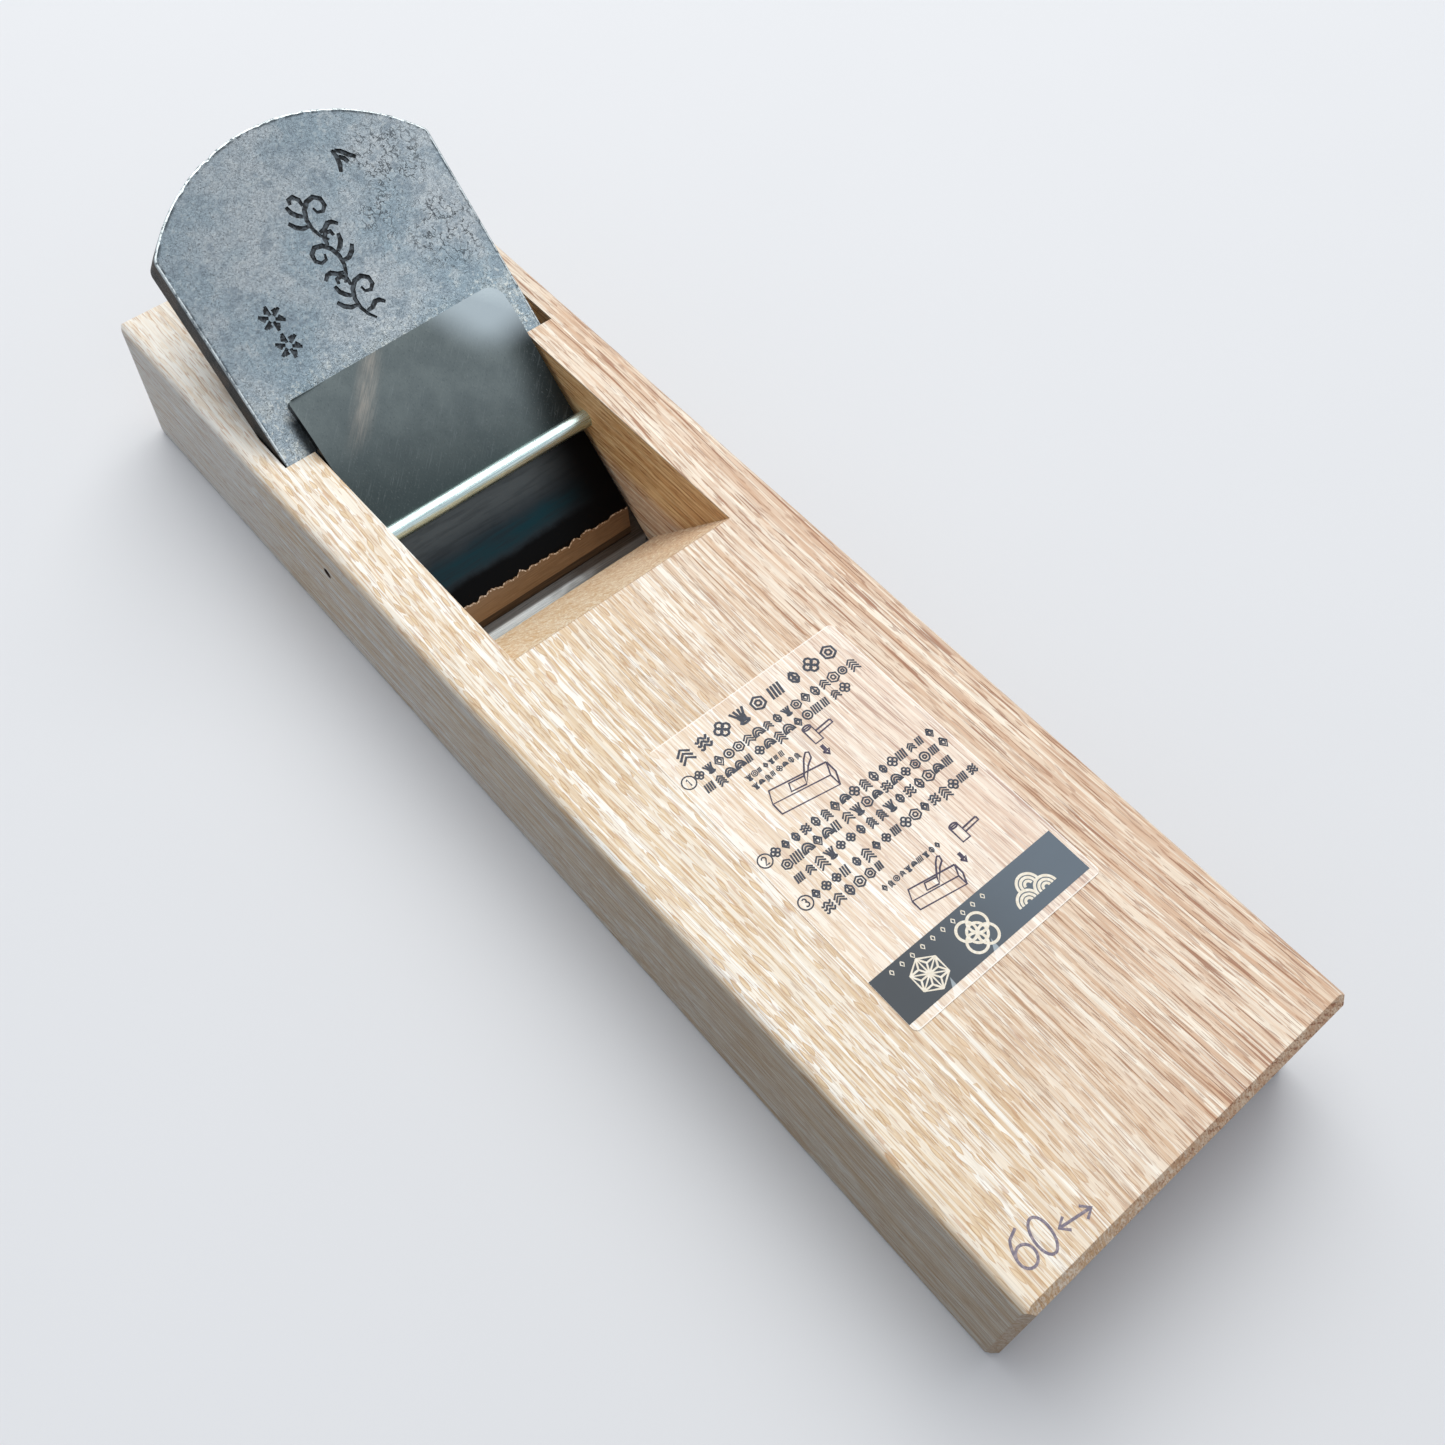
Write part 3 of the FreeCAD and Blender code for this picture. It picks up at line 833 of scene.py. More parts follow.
def chip_rim(mesh):
    cut_finely(mesh, [edge for edge in mesh.edges if on_the_rim(edge)])
    rim = [edge for edge in mesh.edges if on_the_rim(edge)]
    made = bmesh.ops.bevel(mesh, geom=rim, offset=rim_width * MM, segments=3, profile=0.5, affect="EDGES")
    mesh.normal_update()
    for vert in made["verts"]:
        knock(vert)
    for face in made["faces"]:
        face.material_index = 2
    return len(rim)


# %% Colour the cuts of the ornament
ornament_start = 12
ornament_reach = 27.0


def mark_cuts(mesh):
    for face in mesh.faces:
        along, across, above = place_on_blade(face.calc_center_median() / MM)
        if along > ornament_start and abs(across) < ornament_reach and -1 < above < -0.02:
            face.material_index = 1


blade_mesh = copy_of_node("blade_iron")
mark_cuts(blade_mesh)
print("rim in", chip_rim(blade_mesh), "short edges")
blade_finishes = [forged_finish(), cut_finish(), rim_finish()]
show(blade_mesh, "forged_blade", "blade", blade_finishes, ["blade_iron"])

# %% [markdown]
# ## The edge steel
# A thin plate of hard steel is forge welded to each iron. On the blade it is ground bright, with
# lines across it; its bluish white is a painted reflection of the sky, darker to the right as painted shade,
# and a painted shadow lies under the chipbreaker's edge. On the chipbreaker it is duller and painted dark
# brown, as painted shade and a painted reflection of the oak. The solids have the right shape, so they only
# get their finishes.

# %% The finishes of the edge steel
edge_shadow_line = -47.9


def edge_steel_finish():
    """Painted bright and bluish on the left, as a painted reflection of the sky, and painted darker to the
    right, as painted shade where less sky reaches it.
    """
    material, tree, surface = new_finish("ground edge steel", Metallic=0.3)
    lines = lines_along(tree, 0.14, 9, 0.14)
    face = use_group(tree, "on_the_face")
    haze = patches(place_mm(tree), (3, 5, 3), detail=3.0)
    # Painted shade to the right, and a painted shadow under the chipbreaker's edge.
    darker = grade(face["Across"] + haze * 14, 4, 20)
    chipbreaker_edge_shadow = grade(face["Along"], edge_shadow_line - 0.45, edge_shadow_line + 0.25)
    colour = layered(
        mix(lines["Lines"], paint(212, 228, 240), paint(236, 246, 252)),
        (darker * 0.88, paint(72, 64, 56)),
        (chipbreaker_edge_shadow * 0.9, paint(44, 35, 28)),
    )
    dress(surface, colour, 0.22 + lines["Lines"] * 0.16, lines["Deep"], 0.01)
    return material


def shaded_steel_finish():
    """The chipbreaker's edge: the same steel, ground less, and painted dark brown as painted shade and a
    painted reflection of the oak.
    """
    material, tree, surface = new_finish("shaded edge steel", Metallic=0.8)
    lines = lines_along(tree, 0.14, 7, 0.14)
    colour = mix(lines["Lines"], paint(52, 42, 34), paint(84, 68, 54))
    dress(surface, colour, 0.3 + lines["Lines"] * 0.2)
    return material


wear("blade_steel", edge_steel_finish())
wear("chipbreaker_steel", shaded_steel_finish())
print("edge steel on both irons")

# %% [markdown]
# ## The chipbreaker
# The chipbreaker is satin, dark and slightly green. A pale painted sheen lies on its left, a painted
# highlight on its upper right corner, and painted shade darkens it towards the pin and the right.
# Below the pin it is almost black, and a blue-green band shows where grinding heated it. Then
# comes a ragged line, where the black scale ends, and the ground bevel below it is painted brown,
# as a painted reflection of the oak.
# All of this changes along the face, so it is mixed from the distances of the face group.

# %% Lines across the chipbreaker
pin_line = -21.0
heat_line = -33.5
grind_line = -39.6


def above_the_grinding(along, across):
    """How far a point lies above the ragged line where the black scale ends, in mm."""
    scallops = cells(join(across * 0.55, 0.0), spread=0.9)[0]
    ragged = cloud(join(across * 1.6, 0.0), detail=3.0)[0]
    edge = scallops * 1.5 + ragged * 0.8
    return along - (grind_line - edge)


# %% The grey upper part
def satin_scale(along, across, mottle, grit):
    """Painted shade darkens it towards the pin and the right; a pale painted sheen lies on the left, and a
    painted highlight on the upper right corner.
    """
    brushed = join(along - across, (along + across) * 0.06)
    scratches = patches(brushed, (0.45, 0.45, 1), detail=3.0)
    # Painted shade towards the pin and the right.
    lower = grade(along + across * 0.35, 1, -24)
    right = grade(across - along * 0.25, 17, 25)
    # A painted sheen, pale, on the upper left.
    slant = along + across * -1.15
    upper_left = grade(across, -1, -9) * grade(along, -6, 3)
    streak = hump(slant, 16.2, 19.4, 3.4) * upper_left
    # A painted highlight on the upper right corner.
    to_the_right = across + along * 0.6
    corner = grade(to_the_right, 11, 22) * grade(along, -3, 6)
    return layered(
        mix(grade(mottle, 0.35, 0.65), paint(100, 109, 109), paint(110, 119, 118)),
        (lower * 0.85, paint(56, 66, 66)),
        (right * 0.88, paint(26, 31, 31)),
        (grade(grit, 0.58, 0.72) * 0.22, paint(150, 158, 158)),
        (grade(grit, 0.44, 0.30) * 0.3, paint(50, 58, 60)),
        (grade(scratches, 0.56, 0.74) * 0.11, paint(158, 166, 166)),
        (streak * grade(scratches, 0.35, 0.65, 0.15, 0.5), paint(206, 192, 176)),
        (corner * 0.9, paint(180, 192, 196)),
    )


# %% The black lower part
def black_scale(along, across, mottle):
    """Near black, with one blue-green band where grinding heated it, and painted black shade to the right."""
    ragged = along + (mottle - 0.5) * 3.0
    lines = cloud(join(along * 1.1, across * 0.09), detail=4.0)[0]
    band = hump(ragged, heat_line - 1.6, heat_line + 2.2, 1.6)
    heat = band * grade(lines, 0.30, 0.62, 0.35, 1.0)
    # Painted shade: the right side is painted black.
    return layered(
        mix(grade(ragged, pin_line - 3, pin_line - 11), paint(80, 84, 84), paint(42, 48, 52)),
        (grade(lines, 0.54, 0.34) * 0.26, paint(20, 24, 28)),
        (heat * 0.75, paint(12, 54, 62)),
        (grade(ragged, heat_line - 1.8, heat_line - 3.6), paint(9, 10, 11)),
        (grade(across, 6, 21), paint(5, 5, 6)),
    )


# %% The ground bevel
def bevel_with_painted_reflection(tree, across, over, grit):
    """Ground steel, painted brown as a painted reflection of the oak and lighter to the left, with bright
    bits where the scale breaks off.
    """
    lines = lines_along(tree, 0.12, 5, 0.12)
    bright_bits = hump(over, -0.34, -0.06, 0.07) * grade(grit, 0.46, 0.56)
    return layered(
        mix(lines["Lines"], paint(114, 94, 74), paint(138, 116, 94)),
        (grade(across, 4, -24, 0.0, 0.35), paint(160, 134, 110)),
        (bright_bits, paint(226, 214, 200)),
    )


# %% The finish of the chipbreaker
def chipbreaker_finish():
    material, tree, surface = new_finish("chipbreaker scale", Metallic=0.9)
    place = place_mm(tree)
    face = use_group(tree, "on_the_face")
    along, across = face["Along"], face["Across"]
    mottle = patches(place, 7, 5.0, 0.6)
    grit = patches(place, (0.5, 0.3, 0.5), 3.0, 0.7)
    satin = satin_scale(along, across, mottle, grit)
    below_pin = grade(along, pin_line + 1, pin_line - 2)
    upper = mix(below_pin, satin, black_scale(along, across, mottle))
    over = above_the_grinding(along, across)
    scale = grade(over, -0.06, 0.06)
    colour = mix(scale, bevel_with_painted_reflection(tree, across, over, grit), upper)
    # Painted shade: the side faces are painted near black.
    side = grade(abs(split(facing(tree))[1]), 0.6, 0.9)
    colour = mix(side, colour, paint(14, 16, 17))
    dress(surface, colour, between(scale, 0.30, 0.32) + grit * 0.14, scale + grit * 0.4, 0.03)
    return material


chip_mesh = copy_of_node("chipbreaker_iron")
break_edges(chip_mesh, 0.3, 50)
show(chip_mesh, "dark_chipbreaker", "chipbreaker", [chipbreaker_finish()], ["chipbreaker_iron"])

# %% [markdown]
# ## The cross pin
# The pin is cut from bright drawn rod, so fine lines run along it. Its solid is a coarse
# many-sided rod, and a mirror-bright round thing shows every flat. So its profile is turned
# again on a lathe of 96 sides, between the same ends.

# %% Turn a profile about a line across the block
def turn_across(profile, centre, sides):
    """Spins (distance along Y, radius) points about a line along Y, closed at both ends."""
    mesh = bmesh.new()
    rings = []
    for across, radius in profile:
        steps = range(1 if radius == 0 else sides)
        angles = [2 * math.pi * step / sides for step in steps]
        points = [(centre.x + radius * math.cos(a), across, centre.z + radius * math.sin(a)) for a in angles]
        rings.append([mesh.verts.new(Vector(point) * MM) for point in points])
    for near, far in zip(rings, rings[1:]):
        for step in range(sides):
            corners = [near[step % len(near)], near[(step + 1) % len(near)]]
            corners += [far[(step + 1) % len(far)], far[step % len(far)]]
            mesh.faces.new(list(dict.fromkeys(corners)))
    bmesh.ops.recalc_face_normals(mesh, faces=mesh.faces)
    return mesh


# %% The finish of the pin
def pin_finish():
    material, tree, surface = new_finish("drawn steel", Metallic=1.0)
    drawn = lines_along(tree, 0.16, 14, 0.16)["Lines"]
    spots = patches(place_mm(tree), (1.2, 2.5, 1.2), detail=3.0)
    # The cyan tint of the steel is a painted reflection of the sky.
    colour = mix(drawn, paint(168, 190, 188), paint(214, 231, 228))
    colour = mix(grade(spots, 0.58, 0.7) * 0.4, colour, paint(170, 180, 176))
    dress(surface, colour, 0.20 + drawn * 0.12, drawn, 0.012)
    return material


# %% The pin
pin_sides = 96
pin_chamfer = 0.4
pin_radius = (pin_high.z - pin_low.z) / 2
end_radius = pin_radius - pin_chamfer
pin_profile = [(pin_low.y, 0), (pin_low.y, end_radius), (pin_low.y + pin_chamfer, pin_radius)]
pin_profile += [(pin_high.y - pin_chamfer, pin_radius), (pin_high.y, end_radius), (pin_high.y, 0)]
pin_mesh = turn_across(pin_profile, pin_centre, pin_sides)
show(pin_mesh, "drawn_pin", "body", [pin_finish()], ["retaining_pin"])
print("pin", round(2 * pin_radius, 2), "mm thick,", round(pin_high.y - pin_low.y, 1), "mm long")

# %% [markdown]
# ## The clear label
# The label is a clear film, so the oak shows through it a little paler and glossier. A painted
# highlight draws a bright line along its cut edge, and painted highlights mark two creases where
# it has lifted. Real glass-like film over wood renders slowly and leaves as grey plastic in an
# exported model. So the film shows the same oak group, in the same place, under a gloss coat.

# %% Creases of the film
# Each crease starts at a point under the band and widens towards the film's edge.
crease_starts = [(84.2, 0.6), (84.6, -9.2)]
crease_slant = 0.35
crease_widening = 0.30


def painted_crease_highlights(x, y):
    """Two pale wedges where the film has lifted beside the band, painted as highlights."""
    found = 0.0
    for start_x, start_y in crease_starts:
        reach = x - start_x
        aside = abs(y + reach * crease_slant - start_y)
        inner = grade(aside - reach * crease_widening, 0.0, -0.12)
        found = math_node("MAXIMUM", found, inner)
    return found


# %% The finish of the film
def film_finish():
    material, tree, surface = new_finish("clear film", Coat_Weight=1.0, Coat_Roughness=0.08)
    place = place_mm(tree)
    x, y, z = split(place)
    oak = use_group(tree, "oak_figure")
    near_end = math_node("MINIMUM", x - film_low.x, film_high.x - x)
    near_side = math_node("MINIMUM", y - film_low.y, film_high.y - y)
    # Painted highlight: a bright line along the film's cut edge.
    painted_edge_highlight = grade(math_node("MINIMUM", near_end, near_side), 0.28, 0.12)
    beyond_band = grade(x, band_high.x - 0.1, band_high.x + 0.1)
    veil = 0.02 + beyond_band * 0.08
    # Painted highlight on the creases where the film has lifted.
    veil = math_node("MAXIMUM", veil, painted_crease_highlights(x, y) * 0.6)
    colour = mix(veil, oak["Color"], paint(255, 250, 242))
    colour = mix(painted_edge_highlight * 0.65, colour, paint(255, 250, 240))
    feed(surface["Base Color"], mix(1.0, colour, paint(246, 247, 249), how="MULTIPLY"))
    feed(surface["Roughness"], oak["Roughness"] - 0.1)
    feed(surface["Coat Normal"], bump(patches(place, (7, 4, 7)), 0.05))
    feed(surface["Normal"], bump(oak["Height"], 0.02))
    return material


wear("label_film", film_finish())
print("film", [round(side, 1) for side in film_high - film_low], "mm")

# %% [markdown]
# ## Ink
# The print is thin raised lines of ink. Each drawing is first a wire of edges. A Geometry Nodes
# tree then turns every wire into a flat line of ink with thinner ends, as a brush leaves. The
# same tree serves the rows, the pictures, the numbers and the stamp.

# %% A geometry tree and its sockets
def new_geometry_tree(name, given):
    """A Geometry Nodes tree with named inputs: the tree, its inputs and its output."""
    tree = bpy.data.node_groups.new(name, "GeometryNodeTree")
    tree.interface.new_socket("Geometry", in_out="INPUT", socket_type="NodeSocketGeometry")
    for label, kind in given.items():
        tree.interface.new_socket(label, in_out="INPUT", socket_type=kind)
    tree.interface.new_socket("Geometry", in_out="OUTPUT", socket_type="NodeSocketGeometry")
    return tree, tree.nodes.new("NodeGroupInput").outputs, tree.nodes.new("NodeGroupOutput").inputs


# %% Wires to flat lines of ink
def build_ink_tree():
    given = {"Line Width": "NodeSocketFloat", "Line Height": "NodeSocketFloat"}
    given |= {"Pointed Ends": "NodeSocketFloat", "Ink": "NodeSocketMaterial"}
    tree, inputs, output = new_geometry_tree("wires_to_ink", given)
    lines = node("GeometryNodeMeshToCurve", {"Mesh": inputs["Geometry"]})[0]
    lines = node("GeometryNodeSetCurveNormal", {"Curve": lines}, mode="Z_UP")[0]
    along = new_node(tree, "GeometryNodeSplineParameter").outputs["Factor"]
    from_middle = abs(along * 2.0 - 1.0)
    thinner = math_node("POWER", from_middle, 3.0) * inputs["Pointed Ends"]
    shaped = {"Curve": lines, "Radius": 1 - thinner}
    lines = node("GeometryNodeSetCurveRadius", shaped)[0]
    size = {"Width": inputs["Line Width"], "Height": inputs["Line Height"]}
    section = node("GeometryNodeCurvePrimitiveQuadrilateral", size, mode="RECTANGLE")[0]
    swept = {"Curve": lines, "Profile Curve": section, "Fill Caps": True}
    solid = node("GeometryNodeCurveToMesh", swept)[0]
    solid = node("GeometryNodeRealizeInstances", {"Geometry": solid})[0]
    solid = node("GeometryNodeSetMaterial", {"Geometry": solid, "Material": inputs["Ink"]})[0]
    feed(output["Geometry"], solid)
    return tree


ink_tree = build_ink_tree()


# %% Run a tree and keep its result as a plain mesh
def grow(wire_mesh, tree, values):
    """Evaluates a tree on a mesh of edges and gives the finished mesh."""
    seed = bpy.data.objects.new("wires", wire_mesh)
    bpy.context.scene.collection.objects.link(seed)
    modifier = seed.modifiers.new("grow", "NODES")
    modifier.node_group = tree
    for item in tree.interface.items_tree:
        if item.in_out == "INPUT" and item.name in values:
            modifier[item.identifier] = values[item.name]
    ready = bpy.context.evaluated_depsgraph_get()
    grown = bpy.data.meshes.new_from_object(seed.evaluated_get(ready), depsgraph=ready)
    seed.modifiers.clear()
    bpy.data.objects.remove(seed)
    return grown


# %% Drawings to wires
level_step = 0.0015


def wires_of(lines, height_mm):
    """A mesh of edges from lists of (x, y) points in mm. Lines that cross differ a hair in height."""
    mesh = bpy.data.meshes.new("lines")
    points = []
    edges = []
    for number, line in enumerate(lines):
        first = len(points)
        level = height_mm + level_step * (number % 7)
        points += [(x * MM, y * MM, level * MM) for x, y in line]
        edges += [(first + step, first + step + 1) for step in range(len(line) - 1)]
    mesh.from_pydata(points, edges, [])
    return mesh


# %% The finishes of ink
def ink_finish(name, dark, light):
    material, tree, surface = new_finish(name, Specular_IOR_Level=0.4)
    fade = patches(place_mm(tree), 0.5)
    dress(surface, mix(grade(fade, 0.4, 0.7), dark, light), 0.35 + fade * 0.2)
    return material


dark_ink = ink_finish("dark ink", paint(24, 32, 48), paint(54, 62, 78))
violet_ink = ink_finish("violet ink", paint(44, 34, 58), paint(72, 62, 86))
cream_ink = ink_finish("cream ink", paint(232, 222, 202), paint(246, 240, 226))
stamp_ink = ink_finish("stamp ink", paint(112, 104, 120), paint(158, 146, 152))

# %% [markdown]
# ## Rows of marks
# The label has the busy look of something printed small. Its rows are filled with small
# ornaments: leaves, waves, rings, slanting strokes, chevrons, lozenges, fans, grass, petals and
# shells. A handful is drawn once, and a Geometry Nodes tree sets them out along each row.

# %% Strokes for round shapes
def arc(centre, radii, start, end, steps=14):
    """Points round part of an ellipse; angles in degrees, from down towards right."""
    turns = [math.radians(start + (end - start) * step / steps) for step in range(steps + 1)]
    return [(centre[0] + radii[0] * math.cos(t), centre[1] + radii[1] * math.sin(t)) for t in turns]


def ring(centre, radius, steps=14):
    return arc(centre, (radius, radius), 0, 360, steps)


def moved(lines, down, across, scale=1.0):
    return [[(down + x * scale, across + y * scale) for x, y in line] for line in lines]


# %% Small ornaments, each in a unit square
def leaf_mark():
    sides = [[(-0.45, 0), (-0.1, side * 0.3), (0.2, side * 0.26), (0.45, 0)] for side in (-1, 1)]
    return sides + [[(-0.3, 0), (0.5, 0.02)], [(0.0, -0.16), (0.16, 0.0), (0.0, 0.16)]]


def wave_mark():
    wave = [(0.13 * math.sin(step * 1.15), -0.45 + 0.1 * step) for step in range(10)]
    return [[(down + rise, across) for rise, across in wave] for down in (-0.3, 0.0, 0.3)]


def slant_mark(count):
    return [[(-0.42, -0.34 + 0.24 * step), (0.42, -0.48 + 0.24 * step)] for step in range(count)]


def chevron_mark(count):
    peak = [(-0.1, -0.4), (-0.42, 0), (-0.1, 0.4)]
    return [[(down + 0.26 * step, across) for down, across in peak] for step in range(count)]


def lozenge_mark():
    outer = [(-0.48, 0), (0, 0.36), (0.48, 0), (0, -0.36), (-0.48, 0)]
    return [outer, [(down / 2, across / 2) for down, across in outer]]


def fan_mark():
    return [arc((0.32, 0), (reach * 1.5, reach), 90, 270, 8) for reach in (0.16, 0.32, 0.48)]


def grass_mark():
    blades = [[(0.42, lean * 0.3), (0.0, lean * 0.5), (-0.44, lean)] for lean in (-0.44, -0.15, 0.15, 0.44)]
    return blades + [arc((0.42, 0), (0.1, 0.3), 0, 360, 8)]


def petal_mark():
    return [ring(place, 0.2, 8) for place in ((-0.24, 0), (0.24, 0), (0, -0.24), (0, 0.24))]


ring_mark = [ring((0, 0), 0.42, 12), ring((0, 0), 0.16, 8)]
shell_mark = [ring((0, 0), 0.47, 6), ring((0, 0), 0.2, 6)]
ornaments = [leaf_mark(), wave_mark(), ring_mark, slant_mark(4), slant_mark(3), chevron_mark(3)]
ornaments += [chevron_mark(4), lozenge_mark(), fan_mark(), grass_mark(), petal_mark(), shell_mark]
ornament_family = bpy.data.collections.new("small ornaments")
for drawing in ornaments:
    ornament_family.objects.link(bpy.data.objects.new("ornament", wires_of(drawing, 0.0)))
print(len(ornaments), "small ornaments")


# %% The tree that sets out a row
smallest, largest = 0.82, 1.08


def build_row_tree():
    given = {"Ornaments": "NodeSocketCollection", "Ornament Size": "NodeSocketFloat"}
    given |= {"Pitch": "NodeSocketFloat", "Seed": "NodeSocketInt", "Line Width": "NodeSocketFloat"}
    given |= {"Line Height": "NodeSocketFloat", "Ink": "NodeSocketMaterial"}
    tree, inputs, output = new_geometry_tree("rows_of_marks", given)
    rows = node("GeometryNodeMeshToCurve", {"Mesh": inputs["Geometry"]})[0]
    setting = {"Curve": rows, "Length": inputs["Pitch"]}
    places = node("GeometryNodeCurveToPoints", setting, mode="LENGTH")["Points"]
    chosen = {"Collection": inputs["Ornaments"], "Separate Children": True, "Reset Children": True}
    kinds = node("GeometryNodeCollectionInfo", chosen)[0]
    span = {2: smallest, 3: largest, "Seed": inputs["Seed"]}
    vary = node("FunctionNodeRandomValue", span, data_type="FLOAT")[1]
    span = {4: 0, 5: 99, "Seed": inputs["Seed"]}
    pick = node("FunctionNodeRandomValue", span, data_type="INT")[2]
    scale = vary * inputs["Ornament Size"] * (1 / MM)
    setting = {"Points": places, "Instance": kinds, "Pick Instance": True, "Instance Index": pick}
    setting["Scale"] = join(scale, scale, 1.0)
    marks = node("GeometryNodeInstanceOnPoints", setting)[0]
    marks = node("GeometryNodeRealizeInstances", {"Geometry": marks})[0]
    ink = new_node(tree, "GeometryNodeGroup", node_tree=ink_tree)
    feed(ink.inputs["Geometry"], marks)
    feed(ink.inputs["Pointed Ends"], 0.5)
    for label in ("Line Width", "Line Height", "Ink"):
        feed(ink.inputs[label], inputs[label])
    whole = node("GeometryNodeRealizeInstances", {"Geometry": ink.outputs[0]})[0]
    whole = node("GeometryNodeSetMaterial", {"Geometry": whole, "Material": inputs["Ink"]})[0]
    feed(output["Geometry"], whole)
    return tree


row_tree = build_row_tree()

# %% Where the rows lie on the label
# Each row is its distance down the label and where it starts and ends across it, in mm.
heading = [(4.4, 4.8, 38.5)]
body_rows = [(8.9, 4.2, 40.0), (11.8, 4.2, 35.6), (28.2, 4.3, 40.4), (31.1, 4.3, 40.9)]
body_rows += [(34.2, 4.3, 38.8), (38.1, 4.3, 40.8), (41.1, 4.3, 16.0)]
captions = [(14.7, 10.4, 18.0), (16.7, 10.2, 19.6), (44.6, 13.6, 25.8)]
ink_height = 0.02
ink_gap = 0.002
print_level = film_high.z + ink_height / 2 + ink_gap


def on_the_label(down, across):
    """A place on the label, from its first corner, in the plane's frame."""
    return film_low.x + down, film_low.y + across


# %% Print the rows
def print_rows(name, rows, size, pitch, line_width, seed):
    lines = [[on_the_label(down, start), on_the_label(down, end)] for down, start, end in rows]
    values = {"Ornaments": ornament_family, "Ornament Size": size * MM, "Pitch": pitch * MM, "Seed": seed}
    values |= {"Line Width": line_width * MM, "Line Height": ink_height * MM, "Ink": dark_ink}
    printed = grow(wires_of(lines, print_level), row_tree, values)
    return show(printed, name, "body", [dark_ink])


print_rows("label_heading", heading, size=3.4, pitch=4.1, line_width=0.50, seed=12)
print_rows("label_rows", body_rows, size=2.2, pitch=2.2, line_width=0.35, seed=8)
print_rows("label_captions", captions, size=1.25, pitch=1.25, line_width=0.21, seed=21)

# %% [markdown]
# ## Numbers and simple pictures
# The three steps on the label have plain numbers in rings. Beside them are small line pictures
# of a mallet, an arrow and a plane. They are drawn with straight runs and arcs.

# %% Strokes of plain numbers
def number_strokes(number):
    """A plain number one unit high, as (down, across) strokes about its middle."""
    six_stem = [(-0.5, 0.16)] + arc((0.2, 0.02), (0.62, 0.29), 210, 270, 8)
    return {
        0: [arc((0, 0), (0.5, 0.27), 0, 360, 24)],
        1: [[(-0.3, -0.14), (-0.5, 0.04), (0.5, 0.04)]],
        2: [arc((-0.24, 0), (0.26, 0.26), 260, 45) + [(0.5, -0.27), (0.5, 0.28)]],
        3: [arc((-0.26, 0), (0.24, 0.22), 230, 0, 10), arc((0.22, 0), (0.28, 0.27), 180, -60, 12)],
        6: [six_stem, arc((0.2, 0), (0.3, 0.27), 180, 540, 22)],
    }[number]


# %% Small pictures
def mallet():
    """A mallet with an upright barrel head and a handle to the right, about 4 mm high."""
    barrel = [(-1.7, -0.9), (1.7, -0.9), (1.7, 0.9), (-1.7, 0.9), (-1.7, -0.9)]
    face = arc((-1.7, 0), (0.45, 0.9), 0, 360)
    handle = [[(-0.3, 0.9), (-0.5, 4.4)], [(0.5, 0.9), (0.3, 4.4), (-0.5, 4.4)]]
    return [barrel, face] + handle


def small_plane():
    """A plane's block in slanted view with its round-headed blade, about 12 mm long."""
    top = [(-1.5, 6.0), (-3.6, -5.4), (-1.2, -6.6), (0.9, 4.8), (-1.5, 6.0)]
    side = [(0.9, 4.8), (3.3, 4.8), (1.2, -6.6), (-1.2, -6.6)]
    end = [(3.3, 4.8), (0.9, 6.0), (-1.5, 6.0)]
    throat = [(-1.9, 1.2), (-2.5, -1.8), (-1.0, -2.5), (-0.4, 0.5)]
    head = [(-4.4, 3.4), (-5.2, 4.5), (-4.9, 5.0), (-3.8, 4.6), (-3.0, 3.2)]
    blade = [(-1.9, 1.2)] + head + [(-0.4, 0.5), (-1.9, 1.2)]
    return [top, side, end, throat, blade]


def arrow():
    """A short thick arrow that points down, drawn as a shaft and a head."""
    shaft = [[(-1.1, offset), (0.4, offset)] for offset in (-0.2, 0.0, 0.2)]
    head = [[(0.2, -0.7), (1.2, 0.0), (0.2, 0.7), (0.2, -0.7)], [(0.4, -0.35), (0.9, 0.0), (0.4, 0.35)]]
    return shaft + head


# %% Print the numbers and pictures
def print_lines(name, lines, width, ink, level):
    values = {"Line Width": width * MM, "Line Height": ink_height * MM, "Pointed Ends": 0.0, "Ink": ink}
    return show(grow(wires_of(lines, level), ink_tree, values), name, "body", [ink])


def label_lines(lines, down, across, scale=1.0):
    x, y = on_the_label(down, across)
    return moved(lines, x, y, scale)


number_places = {1: 8.9, 2: 28.3, 3: 38.2}
number_column = 1.9
numbers = []
for number, down in number_places.items():
    numbers += label_lines(number_strokes(number), down, number_column, 1.5)
    numbers += label_lines([ring((0, 0), 1, 20)], down, number_column, 1.3)
print_lines("label_numbers", numbers, 0.26, dark_ink, print_level)

# Each picture: its drawing, its place down and across the label, and its scale.
picture_places = [(mallet(), 15.4, 24.6, 1.0), (arrow(), 19.0, 24.2, 1.0), (small_plane(), 22.4, 16.6, 1.0)]
picture_places += [(mallet(), 45.4, 30.4, 0.95), (arrow(), 48.9, 27.4, 0.9), (small_plane(), 50.2, 20.6, 0.8)]
pictures = []
for drawing, down, across, scale in picture_places:
    pictures += label_lines(drawing, down, across, scale)
print_lines("label_pictures", pictures, 0.34, violet_ink, print_level)

# %% [markdown]
# ## The dark band
# One end of the label is a slate-coloured band. It carries three traditional patterns in cream,
# a hemp leaf, linked rings and a wave fan, and a row of small lozenges.

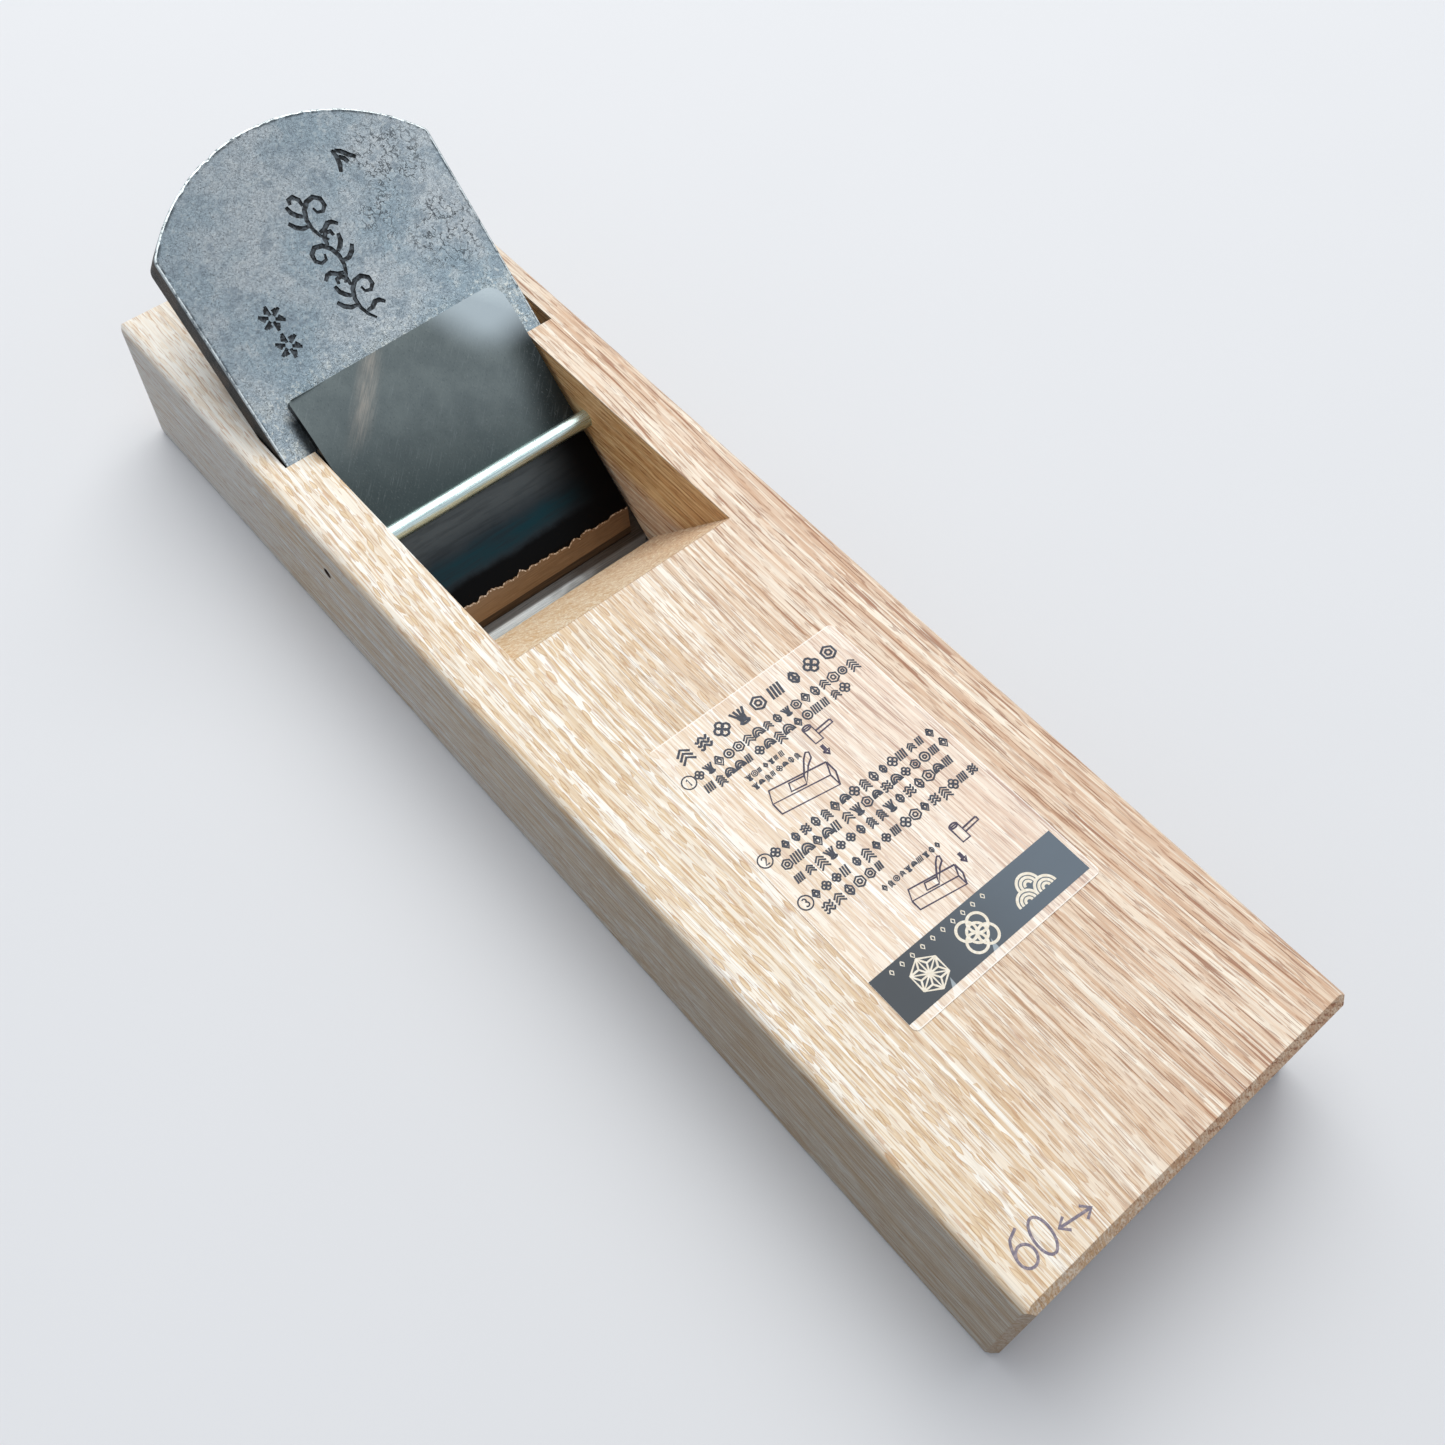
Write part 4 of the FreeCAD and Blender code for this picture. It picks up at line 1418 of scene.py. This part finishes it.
# %% The band's colour
def band_finish():
    coat = {"Coat_Weight": 0.3, "Coat_Roughness": 0.2}
    material, tree, surface = new_finish("slate print", Specular_IOR_Level=0.2, **coat)
    place = place_mm(tree)
    shade = patches(place, (9, 14, 9), detail=3.0)
    left = mix(shade, paint(30, 40, 48), paint(44, 56, 66))
    right = mix(shade, paint(72, 88, 102), paint(84, 100, 114))
    x, y, z = split(place)
    # Painted reflection: the slate is painted lighter towards the right.
    slate = mix(grade(y, -18, 20), left, right)
    # Painted highlight where the film has lifted over the band.
    lifted = painted_crease_highlights(x, y) * 0.55
    feed(surface["Base Color"], mix(lifted, slate, paint(196, 210, 218)))
    feed(surface["Roughness"], 0.3 + shade * 0.15)
    feed(surface["Coat Normal"], bump(shade, 0.04))
    return material


wear("label_band", band_finish())


# %% The three patterns
def hemp_leaf(radius):
    """A six-sided hemp leaf: spokes, an outline and a kite in every sixth."""

    def spot(turn, reach):
        return reach * math.cos(math.radians(turn)), reach * math.sin(math.radians(turn))

    lines = []
    for turn in range(0, 360, 60):
        kite = spot(turn + 30, radius * 0.58)
        lines.append([(0, 0), spot(turn, radius), spot(turn + 60, radius)])
        lines.append([spot(turn, radius), kite, (0, 0)])
        lines.append([kite, spot(turn + 60, radius)])
    return lines


def linked_rings(radius):
    """Four rings round one, each through the middle of the next."""
    places = [(0, 0)] + [(radius * x, radius * y) for x, y in ((1, 1), (1, -1), (-1, 1), (-1, -1))]
    return [ring((x * 0.5, y * 0.5), radius * 0.7, 28) for x, y in places]


def wave_fan(radius):
    """Nested half rings in two rows, as in a sea of waves."""
    fans = []
    for down, across in ((0.75, -0.9), (0.75, 0.9), (-0.2, 0.0)):
        for share in (1.0, 0.66, 0.33):
            reach = radius * 0.9 * share
            fans.append(arc((down * radius, across * radius), (reach, reach), 90, 270, 16))
    return fans


# %% Print the band
band_level = band_high.z + ink_height / 2 + ink_gap
band_middle = (band_low.x + band_high.x) / 2 + 0.6
signs = moved(linked_rings(2.5), band_middle, -0.4) + moved(wave_fan(2.3), band_middle, 12.2)
print_lines("band_patterns", signs, 0.5, cream_ink, band_level)
print_lines("band_leaf", moved(hemp_leaf(3.2), band_middle, -11.3), 0.36, cream_ink, band_level)

lozenge = [(-0.5, 0), (0, 0.35), (0.5, 0), (0, -0.35), (-0.5, 0)]
lozenge_pitch = 2.3
lozenges = []
for step in range(10):
    lozenges += moved([lozenge], band_low.x + 1.2, band_low.y + 4 + lozenge_pitch * step)
print_lines("band_lozenges", lozenges, 0.2, cream_ink, band_level)

# %% [markdown]
# ## The size stamp
# The front end of the top is stamped with the size of the blade in millimetres, and an arrow
# with two heads says that it is a width. A stamp soaks into the pores, so its ink is uneven.

# %% The stamp
stamp_place = (120.9, -31.2)
stamp_turn = math.radians(-10)
stamp_height = 5.8
digit_pitch = 3.75
stamp_line = 0.46


def width_sign(width):
    """A bar with an arrowhead at both ends, the sign for a width."""
    half = width / 2
    neck = half - 1.5
    heads = [[(-1.1, side * neck), (0.0, side * half), (1.1, side * neck)] for side in (-1, 1)]
    return heads + [[(0, -half), (0, half)]]


def stamped(lines):
    """Turns a drawing on the stamp's first digit to the stamp's slant, in the plane's frame."""
    cos, sin = math.cos(stamp_turn), math.sin(stamp_turn)
    x, y = stamp_place

    def turned(down, across):
        return x + down * cos - across * sin, y + down * sin + across * cos

    return [[turned(*point) for point in line] for line in lines]


stamp_lines = moved(number_strokes(6), 0, 0, stamp_height)
stamp_lines += moved(number_strokes(0), 0, digit_pitch, stamp_height)
stamp_lines += moved(width_sign(6.0), 0.4, 2.5 * digit_pitch)
stamp_level = block_top + ink_height / 2 + ink_gap
print_lines("size_stamp", stamped(stamp_lines), stamp_line, stamp_ink, stamp_level)
